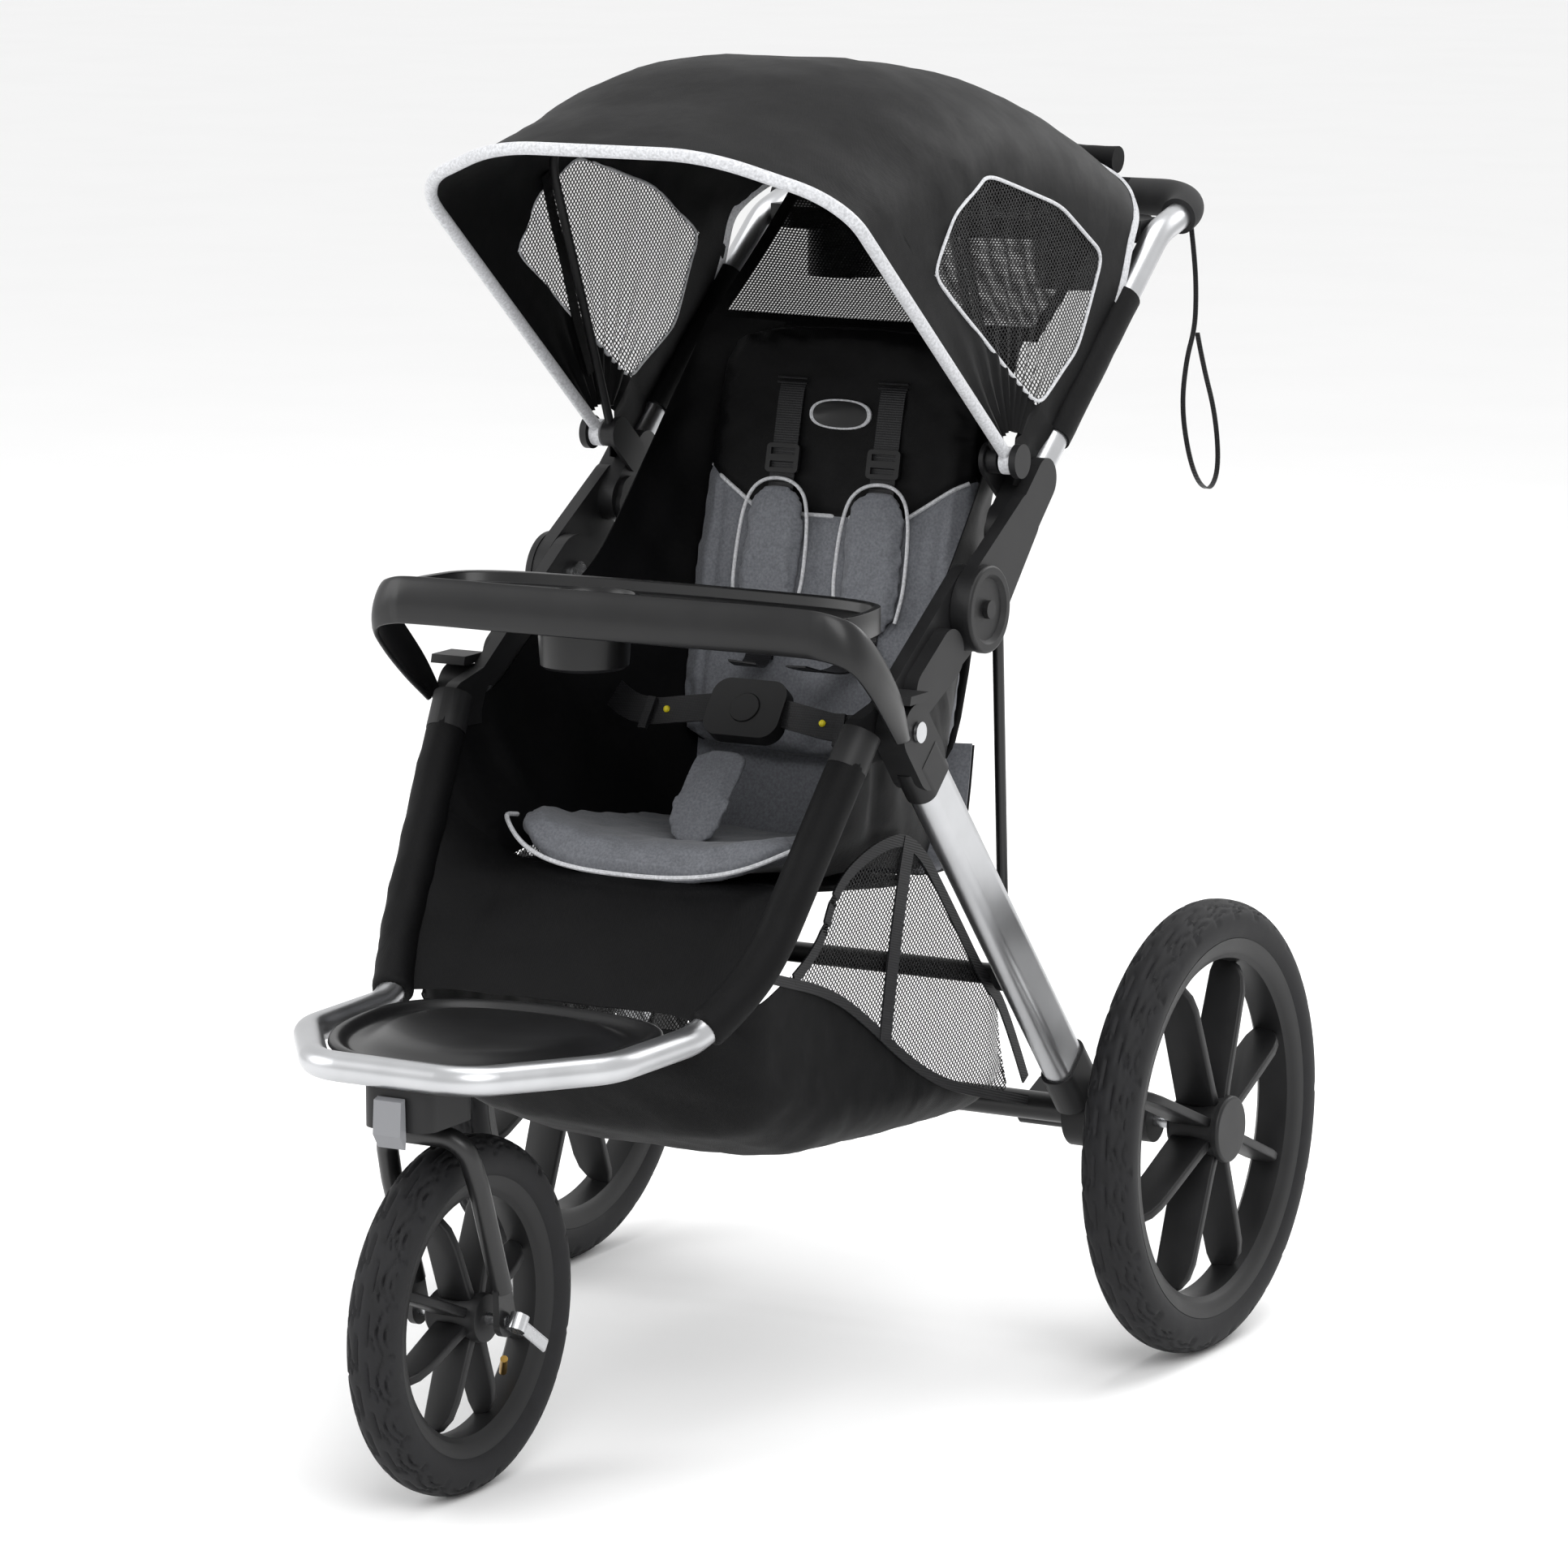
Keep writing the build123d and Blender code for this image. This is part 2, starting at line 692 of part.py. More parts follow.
with BuildPart() as shoulder_straps:
    with BuildSketch(back_plane.offset(PAD_THICK + 0.3)):
        with Locations((STRAP_X, 230)):
            Rectangle(25, 236)
    extrude(amount=2.5)
    mirror(about=Plane.YZ)
save(shoulder_straps, "shoulder_straps")

with BuildPart() as strap_adjusters:
    with BuildSketch(back_plane.offset(PAD_THICK + 3.1)):
        with Locations((STRAP_X, 284)):
            RectangleRounded(33, 26, 4)
            for shift in (-6, 6):
                with Locations((0, shift)):
                    Rectangle(24, 6, mode=Mode.SUBTRACT)
    extrude(amount=4)
    mirror(about=Plane.YZ)
save(strap_adjusters, "strap_adjusters")


# ---------------------------------------------------------------- canopy

def rib_plane(angle):
    """The plane of one canopy rib: sketches are (x, reach from the pivot)."""
    turn = radians(angle)
    return Plane(
        origin=(0, *CANOPY_PIVOT), x_dir=(1, 0, 0), z_dir=(0, -sin(turn), cos(turn))
    )


def rib_points(half, foot, reach):
    """The corners of a rib's arch, from one foot over the top to the other."""
    right = [(half, foot), (half, reach - 60), (half - 105, reach)]
    return right + [(-x, y) for x, y in reversed(right)]


def rib_outline(half, foot, reach):
    """The closed outline of a rib, inside the current sketch."""
    with BuildLine() as outline:
        FilletPolyline(*rib_points(half, foot, reach), radius=RIB_RADII)
        Line((-half, foot), (half, foot))
    make_face(outline.edges())


def make_canopy(name, angles):
    with BuildPart() as panel:
        for angle in angles:
            with BuildSketch(rib_plane(angle)):
                rib_outline(CANOPY_HALF, CANOPY_FOOT_R, CANOPY_RIBS[angle])
        loft()
        for angle in angles:
            with BuildSketch(rib_plane(angle)):
                rib_outline(
                    CANOPY_HALF - CANOPY_SKIN, CANOPY_FOOT_R - 12, CANOPY_RIBS[angle] - CANOPY_SKIN
                )
        loft(mode=Mode.SUBTRACT)
    save(panel, name)


make_canopy("canopy_front_panel", (139.5, 126.5, 112))
make_canopy("canopy_mid_panel", (112, 90))
make_canopy("canopy_rear_panel", (90, 62, 37))


# Mesh wall between the canopy's rear edge and the top of the seat back
mesh_foot = (297, 925)
mesh_run = Vector(0, 468, 1024) - Vector(0, *mesh_foot)
with BuildPart() as canopy_rear_mesh:
    with BuildSketch(Plane(origin=(0, *mesh_foot), x_dir=(1, 0, 0), z_dir=mesh_run)):
        Rectangle(340, CANOPY_SKIN)
    extrude(amount=mesh_run.length)
save(canopy_rear_mesh, "canopy_rear_mesh")


def make_bow(name, angle, half, reach, radius, eye_from, eye_to, eye_r):
    """A bow along a rib, with an eye round the canopy pivot at each end."""
    with BuildPart() as bow:
        with BuildLine(rib_plane(angle)):
            FilletPolyline(*rib_points(half, eye_r - 2, reach), radius=RIB_RADII)
        with BuildSketch(Plane(
            origin=rib_plane(angle).from_local_coords((half, eye_r - 2, 0)),
            z_dir=rib_plane(angle).y_dir,
        )):
            Circle(radius)
        sweep()
        for sign in (1, -1):
            cross_pin(CANOPY_PIVOT, eye_r, sign * eye_from, sign * eye_to)
        cross_bore(CANOPY_PIVOT, 5 + RUNNING, -230, 230)
    save(bow, name)


make_bow("canopy_brim", 140.5, 206, 443, BRIM_R, 201, 211, 12)
make_bow("canopy_mid_bow", 112, 193.5, 352, 4, 188.6, 198.6, 12)

# ---------------------------------------------------------------- child tray

with BuildPart() as child_tray:
    with BuildSketch(Plane.XY.offset(TRAY_Z[0])):
        with BuildLine():
            Line((-TRAY_HALF, -96), (-TRAY_HALF, -112))
            ThreePointArc((-TRAY_HALF, -112), (-227, -139), (-200, -146))
            ThreePointArc((-200, -146), (0, TRAY_FRONT_Y), (200, -146))
            ThreePointArc((200, -146), (227, -139), (TRAY_HALF, -112))
            Line((TRAY_HALF, -112), (TRAY_HALF, -96))
            Line((TRAY_HALF, -96), (TRAY_HALF - 28, -96))
            ThreePointArc((TRAY_HALF - 28, -96), (200, -103), (172, -104))
            ThreePointArc((172, -104), (0, -126), (-172, -104))
            ThreePointArc((-172, -104), (-200, -103), (-TRAY_HALF + 28, -96))
            Line((-TRAY_HALF + 28, -96), (-TRAY_HALF, -96))
        make_face()
    extrude(amount=TRAY_Z[1] - TRAY_Z[0])
    fillet(child_tray.edges().group_by(Axis.Z)[-1], 3)
    for sign in (1, -1):
        with BuildSketch(side(sign * TRAY_ARM_X - 11)):
            with BuildLine():
                Polyline(
                    (-146, 676), (-97, 676), (-42, 634), (-70, 634), (-146, 676)
                )
            make_face()
        extrude(amount=22)
    with BuildSketch(Plane.XY.offset(TRAY_Z[0] - 30)):
        with Locations(TRAY_CUP):
            Circle(TRAY_CUP_R)
    extrude(amount=TRAY_Z[1] - TRAY_Z[0] + 26)
    with BuildSketch(Plane.XY.offset(TRAY_Z[0] - 27)):
        with Locations(TRAY_CUP):
            Circle(TRAY_CUP_R - 3.5)
    extrude(amount=TRAY_Z[1] - TRAY_Z[0] + 30, mode=Mode.SUBTRACT)
save(child_tray, "child_tray")

# Sockets on the elbows: the left one is the tray's hinge, the right one its latch
with BuildPart() as tray_sockets:
    with BuildSketch(side(ARM_SPLIT_X - 0.3)):
        Polygon((-74, 626), (-38, 626), (-40, 633.5), (-72, 633.5), align=None)
    extrude(amount=34)
    mirror(about=Plane.YZ)
save(tray_sockets, "tray_sockets")

# ---------------------------------------------------------------- wrist strap

strap_route = [
    (203.5, 521, 978),
    (205, 527, 945),
    (205.5, 529, 912),
    (205, 527.5, 884),
    (204.5, 512, 858),
    (204, 504, 816),
    (205, 517, 770),
    (206, 537, 741),
    (206.5, 562, 732),
    (206, 580, 752),
    (205.5, 572, 802),
    (205, 546, 849),
    (205, 533, 880),
]
strap_radii = []
for before, corner, after in zip(strap_route, strap_route[1:], strap_route[2:]):
    run_in = Vector(*corner) - Vector(*before)
    run_out = Vector(*after) - Vector(*corner)
    half_turn = radians(run_in.get_angle(run_out) / 2)
    strap_radii.append(0.45 * min(run_in.length, run_out.length) / tan(half_turn))
print("wrist strap radii:", [round(radius, 1) for radius in strap_radii])

with BuildPart() as wrist_strap:
    with BuildLine() as strap_line:
        FilletPolyline(*strap_route, radius=strap_radii)
    with BuildSketch(along(strap_route[0], strap_route[1])):
        Circle(STRAP_CORD_R)
    sweep()
strap_length = sum(edge.length for edge in strap_line.edges())
print("wrist strap length:", round(strap_length, 1))
print("wrist strap volume ratio:", wrist_strap.part.volume / (pi * STRAP_CORD_R**2 * strap_length))
save(wrist_strap, "wrist_strap")
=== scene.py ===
"""A three-wheeled jogging stroller: its soft goods, treads, mouldings and finishes, built round a fixed frame."""

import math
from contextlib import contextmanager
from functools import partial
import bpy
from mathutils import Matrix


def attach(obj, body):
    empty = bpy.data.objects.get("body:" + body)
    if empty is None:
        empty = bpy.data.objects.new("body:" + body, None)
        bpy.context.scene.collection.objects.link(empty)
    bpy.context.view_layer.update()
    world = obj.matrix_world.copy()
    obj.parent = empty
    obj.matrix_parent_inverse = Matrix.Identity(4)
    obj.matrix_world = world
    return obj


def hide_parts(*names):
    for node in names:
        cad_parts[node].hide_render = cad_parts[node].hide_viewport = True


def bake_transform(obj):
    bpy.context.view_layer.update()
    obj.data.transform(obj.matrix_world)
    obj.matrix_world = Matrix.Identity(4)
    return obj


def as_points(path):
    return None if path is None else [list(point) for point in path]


bl_info = {
    "name": "Jogging Stroller",
    "version": (1, 0, 0),
    "blender": (4, 5, 0),
    "location": "View3D > Sidebar > Stroller",
    "description": "Builds the fabric, foam, rubber and finishes of a folding jogging stroller",
    "category": "Object",
}

import bmesh
import bpy
from mathutils import Matrix, Vector, noise

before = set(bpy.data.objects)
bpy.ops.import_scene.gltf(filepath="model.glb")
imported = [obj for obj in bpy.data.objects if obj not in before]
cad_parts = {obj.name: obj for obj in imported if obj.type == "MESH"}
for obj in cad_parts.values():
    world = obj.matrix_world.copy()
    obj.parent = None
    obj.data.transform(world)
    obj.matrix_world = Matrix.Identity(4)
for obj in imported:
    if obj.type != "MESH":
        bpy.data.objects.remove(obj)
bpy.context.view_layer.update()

MM = 0.001
MERGE = 0.000001
SIDES = (1, -1)

# Side-view places in millimetres (y, z), as the frame has them
SEAT_FRONT = (-105, 462)
SEAT_TILT = math.radians(7.6)
BACK_FOOT = (187, 500)
BACK_LEAN = math.radians(13.3)

# Thread directions that cross on a sheet that faces sideways, forwards or up
WARP = (0.8, 1, 1)
WEFT = (0.8, 1, -1)

BLADES = 8
TREAD_PITCH = 42

SOFT_RAMP = (0.3, 0.7)
SHEEN_ROUGHNESS = 0.45
COAT_ROUGHNESS = 0.12

# Wheels, in millimetres: centre, tyre radius and width, rim radius and half width, half a blade's depth, hub
# radius and half width, and the way along x that the outer face looks
WHEELS = {
    "front": ((0, -407, 149.5), 149.5, 45, 112.3, 18, 15, 21, 26, 1),
    "rear_left": ((331, 298, 202.5), 202.5, 49, 163.3, 21, 19, 27, 24, 1),
    "rear_right": ((-331, 298, 202.5), 202.5, 49, 163.3, 21, 19, 27, 24, -1),
}


# ------------------------------------------------------------------ sizes and colours

class StrollerSizes(bpy.types.PropertyGroup):
    """Sizes that a user would change."""

    fabric_thickness: bpy.props.FloatProperty(
        name="Fabric thickness", description="Thickness of the coated polyester",
        default=0.0012, unit="LENGTH")
    strap_width: bpy.props.FloatProperty(
        name="Harness width", description="Width of the harness webbing",
        default=0.025, unit="LENGTH")
    tread_depth: bpy.props.FloatProperty(
        name="Tread depth", description="Depth of the grooves in the tyres",
        default=0.0021, unit="LENGTH")
    pad_pressure: bpy.props.FloatProperty(
        name="Pad pressure", description="Filling pressure of the padded pieces",
        default=4.0)
    pad_cap: bpy.props.FloatProperty(
        name="Pad swell", description="How far the filling may push a padded piece's skin",
        default=0.009, unit="LENGTH")


def colour_property(name, description, value):
    return bpy.props.FloatVectorProperty(
        name=name, description=description, default=value, subtype="COLOR", size=3, min=0, max=1)


def linear(hex_value):
    """An sRGB hex colour as linear red, green and blue."""
    channels = [int(hex_value[i:i + 2], 16) / 255 for i in (0, 2, 4)]
    return tuple(c / 12.92 if c <= 0.04045 else ((c + 0.055) / 1.055) ** 2.4 for c in channels)


class StrollerColours(bpy.types.PropertyGroup):
    """Colours that a user would change, as linear values."""

    shell: colour_property("Shell fabric", "Black polyester of canopy, sides and basket", linear("070708"))
    insert: colour_property("Insert fabric", "Charcoal polyester of the seat insert", linear("63656A"))
    binding: colour_property("Binding", "Pale grey binding and piping", linear("B9BABD"))
    tube: colour_property("Tube", "Anodised aluminium tube", linear("BDBEC0"))
    moulding: colour_property("Moulding", "Black nylon mouldings", linear("131314"))
    rubber: colour_property("Rubber", "Tyre rubber", linear("141416"))
    floor: colour_property("Floor", "Pale studio floor", linear("FAFAFA"))


def sizes():
    return bpy.context.scene.stroller_sizes


def colours():
    return bpy.context.scene.stroller_colours


# ------------------------------------------------------------------ node helpers

def add_node(tree, kind, settings=None, links=None):
    """Add a node, set its values and sockets, and link what feeds it."""
    node = tree.nodes.new(kind)
    for key, value in (settings or {}).items():
        if isinstance(key, str) and hasattr(node, key):
            setattr(node, key, value)
        else:
            node.inputs[key].default_value = value
    for key, socket in (links or {}).items():
        tree.links.new(socket, node.inputs[key])
    return node


def new_material(name, base, roughness, metallic=0.0, sheen=0.0, coat=0.0, gloss=0.5):
    """A material with a Principled shader; returns (material, tree, shader, object coordinates)."""
    material = bpy.data.materials.new(name)
    material.use_nodes = True
    tree = material.node_tree
    shader = tree.nodes["Principled BSDF"]
    shader.inputs["Base Color"].default_value = (*base, 1)
    shader.inputs["Roughness"].default_value = roughness
    shader.inputs["Metallic"].default_value = metallic
    shader.inputs["Specular IOR Level"].default_value = gloss
    if sheen:
        shader.inputs["Sheen Weight"].default_value = sheen
        shader.inputs["Sheen Roughness"].default_value = SHEEN_ROUGHNESS
    if coat:
        shader.inputs["Coat Weight"].default_value = coat
        shader.inputs["Coat Roughness"].default_value = COAT_ROUGHNESS
    coordinates = add_node(tree, "ShaderNodeTexCoord").outputs["Object"]
    return material, tree, shader, coordinates


def bands(tree, coordinates, spacing_mm, direction):
    """Smooth ridges from 0 to 1, spacing_mm apart along a direction."""
    along = add_node(tree, "ShaderNodeVectorMath", {"operation": "DOT_PRODUCT", 1: direction}, {0: coordinates})
    turns = 2 * math.pi / (spacing_mm * MM * Vector(direction).length)
    phase = add_node(tree, "ShaderNodeMath", {"operation": "MULTIPLY", 1: turns}, {0: along.outputs["Value"]})
    wave = add_node(tree, "ShaderNodeMath", {"operation": "SINE"}, {0: phase.outputs[0]})
    ridge = add_node(
        tree, "ShaderNodeMath", {"operation": "MULTIPLY_ADD", 1: 0.5, 2: 0.5}, {0: wave.outputs[0]})
    return ridge.outputs[0]


def weather(made, lumps=(), patterns=(), shade=None, dull=None, relief=()):
    """Finish a material from new_material by patterns that have names.

    lumps adds noise patterns: name, size in mm, detail and, if it isn't even, its stretch.
    patterns holds (name, socket) of patterns that are there already.
    shade is (pattern, low tint, high tint) of the base colour, with the ramp's two positions if not SOFT_RAMP.
    dull is (pattern, low roughness, high roughness), and relief a list of (pattern, depth in mm, strength)."""
    material, tree, shader, where = made
    sockets = dict(patterns)
    for name, size_mm, detail, *stretch in lumps:
        scale = stretch[0] if stretch else (1, 1, 1)
        mapping = add_node(tree, "ShaderNodeMapping", {"Scale": scale}, {"Vector": where})
        noise_node = add_node(
            tree, "ShaderNodeTexNoise", {"Scale": 1000 / size_mm, "Detail": detail},
            {"Vector": mapping.outputs["Vector"]})
        sockets[name] = noise_node.outputs["Fac"]
    if shade:
        name, low, high, *positions = shade
        base = tuple(shader.inputs["Base Color"].default_value)[:3]
        ramp = add_node(tree, "ShaderNodeValToRGB", None, {"Fac": sockets[name]})
        for stop, position, amount in zip(ramp.color_ramp.elements, positions or SOFT_RAMP, (low, high)):
            stop.position = position
            stop.color = (*tint(base, amount), 1)
        tree.links.new(ramp.outputs["Color"], shader.inputs["Base Color"])
    if dull:
        name, low, high = dull
        spread = add_node(tree, "ShaderNodeMapRange", {"To Min": low, "To Max": high}, {"Value": sockets[name]})
        tree.links.new(spread.outputs["Result"], shader.inputs["Roughness"])
    normal = None
    for name, depth_mm, strength in relief:
        links = {"Height": sockets[name]}
        if normal:
            links["Normal"] = normal
        raised = add_node(tree, "ShaderNodeBump", {"Distance": depth_mm * MM, "Strength": strength}, links)
        normal = raised.outputs["Normal"]
    if normal:
        tree.links.new(normal, shader.inputs["Normal"])
    return material


def tint(colour, amount):
    return tuple(min(1.0, c * amount) for c in colour)


# ------------------------------------------------------------------ materials

def anodised_tube():
    """Drawn and anodised aluminium: a satin grey metal with faint draw lines along the tube."""
    made = new_material("anodised_aluminium", colours().tube, 0.34, metallic=1.0)
    return weather(
        made, lumps=[("lines", 0.8, 2, (1, 0.06, 0.06)), ("cloud", 60, 3)],
        shade=("cloud", 0.9, 1.05), dull=("cloud", 0.27, 0.38), relief=[("lines", 0.02, 0.25)])


def moulded_nylon():
    """Glass-filled nylon from a spark-eroded mould: black, with a fine matt grain."""
    made = new_material("moulded_nylon", colours().moulding, 0.46, gloss=0.32)
    # the grain is 0.35 mm on such parts; it is drawn at 0.7 mm so that it shows
    return weather(
        made, lumps=[("grain", 0.7, 4), ("cloud", 35, 3)],
        shade=("cloud", 0.8, 1.3), dull=("cloud", 0.42, 0.56), relief=[("grain", 0.08, 0.35)])


def polished_abs():
    """Injection-moulded ABS with a semi-gloss face: smooth black that holds soft highlights."""
    made = new_material("semi_gloss_abs", tint(colours().moulding, 0.85), 0.34, coat=0.06, gloss=0.32)
    return weather(
        made, lumps=[("cloud", 45, 3), ("flow", 6, 2)],
        shade=("cloud", 0.85, 1.25), dull=("cloud", 0.3, 0.4), relief=[("flow", 0.05, 0.12)])


def tyre_rubber():
    """Vulcanised natural rubber: deep grey-black, dull on the tread, with a trace of road dust."""
    made = new_material("tyre_rubber", colours().rubber, 0.68, gloss=0.3)
    return weather(
        made, lumps=[("dust", 14, 5), ("fine", 1.1, 4)],
        shade=("dust", 0.75, 1.6, 0.35, 0.8), dull=("dust", 0.58, 0.8), relief=[("fine", 0.12, 0.4)])


def powder_coat():
    """Black powder coat on steel: satin, with a slight orange peel."""
    made = new_material("powder_coated_steel", tint(colours().moulding, 0.8), 0.36)
    return weather(made, lumps=[("peel", 2.2, 2)], dull=("peel", 0.3, 0.42), relief=[("peel", 0.06, 0.3)])


def plated_steel():
    """Zinc-plated steel of pins, axles and levers: bright, a little uneven."""
    made = new_material("zinc_plated_steel", linear("BFC0C2"), 0.22, metallic=1.0)
    return weather(made, lumps=[("cloud", 9, 4)], dull=("cloud", 0.16, 0.34))


def valve_brass():
    """Turned brass of the valve stem: warm, and unevenly dulled by handling."""
    made = new_material("turned_brass", linear("B08D4A"), 0.3, metallic=1.0)
    return weather(made, lumps=[("cloud", 3, 3)], dull=("cloud", 0.22, 0.42))


def grey_nylon():
    """Unpainted grey nylon of the swivel lever, with a moulded grain."""
    made = new_material("grey_nylon", linear("77787B"), 0.5)
    return weather(made, lumps=[("grain", 0.8, 4)], relief=[("grain", 0.06, 0.3)])


def woven(name, base, roughness, sheen, crumple_mm, crumple_strength, gloss=0.3):
    """Plain-woven polyester: two sets of threads, a soft sheen and light crumples."""
    made = new_material(name, base, roughness, sheen=sheen, gloss=gloss)
    _, tree, _, where = made
    # threads are 0.5 mm apart; they are drawn at 0.9 mm so that they show
    warp, weft = (bands(tree, where, 0.9, direction) for direction in (WARP, WEFT))
    threads = add_node(tree, "ShaderNodeMath", {"operation": "ADD"}, {0: warp, 1: weft})
    return weather(
        made, lumps=[("crumple", crumple_mm, 3), ("fibre", 2.25, 4)], patterns=[("threads", threads.outputs[0])],
        shade=("fibre", 0.78, 1.25), dull=("crumple", roughness - 0.08, roughness + 0.08),
        relief=[("crumple", 2.2, crumple_strength), ("threads", 0.12, 0.5)])


def shell_polyester():
    """Calendered black polyester: a tight weave with a satin face that catches long highlights."""
    return woven("calendered_polyester", colours().shell, 0.56, 0.0, 38, 0.4, 0.12)


def insert_polyester():
    """Charcoal brushed polyester of the seat insert, softer and duller than the shell."""
    return woven("brushed_polyester", colours().insert, 0.66, 0.12, 30, 0.3)


def binding_tape():
    """Pale grey woven binding tape, folded over an edge and sewn down."""
    return woven("binding_tape", colours().binding, 0.42, 0.15, 12, 0.15)


def harness_webbing():
    """Black polypropylene webbing: ribs across the strap and a slight gloss, with painted highlight on the rib crests
    and painted shade in the grooves.
    """
    made = new_material("ribbed_webbing", linear("0F0F11"), 0.48, gloss=0.35)
    _, tree, _, where = made
    ribs, yarn = bands(tree, where, 2.2, (0, 0.3, 1)), bands(tree, where, 1.6, (1, 0, 0))
    cloth = add_node(tree, "ShaderNodeMath", {"operation": "MULTIPLY_ADD", 1: 0.6}, {0: yarn, 2: ribs})
    # the rib heights also tint the black: painted highlight on the crests, painted shade in the grooves
    return weather(
        made, patterns=[("cloth", cloth.outputs[0])], shade=("cloth", 0.6, 1.7, 0.2, 1.0),
        relief=[("cloth", 0.3, 0.6)])


def net_of(name, first, second):
    """Black warp-knitted mesh: an open net that lets the light through, its threads along two directions."""
    made = new_material(name, linear("121213"), 0.6, gloss=0.25)
    _, tree, shader, where = made
    # the cells are 2.4 mm across; they are drawn at 3.4 mm so that they show
    along, across = (bands(tree, where, 3.4, direction) for direction in (first, second))
    net = add_node(tree, "ShaderNodeMath", {"operation": "MAXIMUM"}, {0: along, 1: across})
    cover = add_node(
        tree, "ShaderNodeMapRange", {"From Min": 0.72, "From Max": 0.9, "To Min": 0.06, "To Max": 1.0},
        {"Value": net.outputs[0]})
    tree.links.new(cover.outputs["Result"], shader.inputs["Alpha"])
    return weather(made, patterns=[("net", net.outputs[0])], relief=[("net", 0.2, 0.4)])


def knitted_mesh():
    """The mesh of the canopy's and the basket's sides."""
    return net_of("knitted_mesh", WARP, WEFT)


def rear_mesh():
    """The same mesh behind the seat, where it slopes backwards."""
    return net_of("knitted_rear_mesh", (1, 0, 0), (0, 0.81, 0.58))


def closed_foam():
    """Closed-cell foam of the handle: soft black with tiny pores."""
    made = new_material("closed_cell_foam", linear("141415"), 0.85)
    _, tree, _, where = made
    pores = add_node(tree, "ShaderNodeTexVoronoi", {"Scale": 900.0}, {"Vector": where})
    return weather(
        made, lumps=[("cloud", 20, 3)], patterns=[("pores", pores.outputs["Distance"])],
        shade=("cloud", 0.8, 1.4), relief=[("pores", 0.15, 0.4)])


def marker_yellow():
    """Yellow printed dots on the waist webbing."""
    made = new_material("marker_yellow", linear("D8C81E"), 0.5)
    return weather(made, lumps=[("cloud", 2, 3)], dull=("cloud", 0.4, 0.6))


def floor_paint():
    """A plain pale floor, smooth and matt."""
    made = new_material("pale_floor", colours().floor, 0.9)
    return weather(made, lumps=[("cloud", 400, 3)], shade=("cloud", 0.985, 1.0))


MATERIAL_MAKERS = {
    "silver_tube": anodised_tube,
    "black_moulding": moulded_nylon,
    "tray_plastic": polished_abs,
    "tray_socket": moulded_nylon,
    "wheel_plastic": moulded_nylon,
    "tyre_rubber": tyre_rubber,
    "black_steel": powder_coat,
    "bright_steel": plated_steel,
    "valve_brass": valve_brass,
    "grey_plastic": grey_nylon,
    "black_fabric": shell_polyester,
    "grey_fabric": insert_polyester,
    "mesh_fabric": knitted_mesh,
    "rear_mesh": rear_mesh,
    "webbing": harness_webbing,
    "binding": binding_tape,
    "foam": closed_foam,
    "marker": marker_yellow,
    "floor": floor_paint,
}
made_materials = {}


def material_for(slot):
    """The material of a slot, made once. Slots with the same maker share it."""
    maker = MATERIAL_MAKERS[slot]
    if maker not in made_materials:
        made_materials[maker] = maker()
    return made_materials[maker]


# ------------------------------------------------------------------ mesh helpers

def deselect():
    if bpy.context.object and bpy.context.object.mode != "OBJECT":
        bpy.ops.object.mode_set(mode="OBJECT")
    bpy.ops.object.select_all(action="DESELECT")


def activate(piece):
    deselect()
    piece.select_set(True)
    bpy.context.view_layer.objects.active = piece


@contextmanager
def editing(mesh):
    """A mesh opened for editing, and written back afterwards."""
    work = bmesh.new()
    work.from_mesh(mesh)
    yield work
    work.to_mesh(mesh)
    work.free()


def mesh_piece(name, points, faces):
    """A piece from points in millimetres and faces."""
    mesh = bpy.data.meshes.new(name)
    mesh.from_pydata([Vector(p) * MM for p in points], [], faces)
    mesh.update()
    piece = bpy.data.objects.new(name, mesh)
    bpy.context.scene.collection.objects.link(piece)
    return piece


def grid_faces(rows, columns, closed=False):
    faces = []
    for i in range(rows - 1):
        for j in range(columns if closed else columns - 1):
            k = (j + 1) % columns
            faces.append((i * columns + j, i * columns + k, (i + 1) * columns + k, (i + 1) * columns + j))
    return faces


def sheet_piece(name, rows, closed=False):
    """A sheet from rows of points in millimetres."""
    points = [place for row in rows for place in row]
    return mesh_piece(name, points, grid_faces(len(rows), len(rows[0]), closed))


def add_modifier(piece, kind, **settings):
    """Add a modifier with its settings and apply it."""
    modifier = piece.modifiers.new(kind.title(), kind)
    for key, value in settings.items():
        setattr(modifier, key, value)
    activate(piece)
    bpy.ops.object.modifier_apply(modifier=modifier.name)


def subdivide(piece, levels=1):
    add_modifier(piece, "SUBSURF", levels=levels, render_levels=levels)


def thicken(piece, thickness, offset=0.0):
    add_modifier(piece, "SOLIDIFY", thickness=thickness, offset=offset, use_even_offset=False)


def outward(piece, merge=0.00002):
    """Merge doubled points and turn the faces outwards."""
    with editing(piece.data) as work:
        bmesh.ops.remove_doubles(work, verts=work.verts, dist=merge)
        bmesh.ops.recalc_face_normals(work, faces=work.faces)


def smooth(piece, angle=50):
    activate(piece)
    bpy.ops.object.shade_smooth_by_angle(angle=math.radians(angle))


def dress(piece, slot, body=None):
    """Give a piece its finish and, if a body is named, the body it rides on."""
    piece.data.materials.clear()
    piece.data.materials.append(material_for(slot))
    if body:
        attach(piece, body)
    return piece


def surface_area(piece):
    return sum(face.area for face in piece.data.polygons)


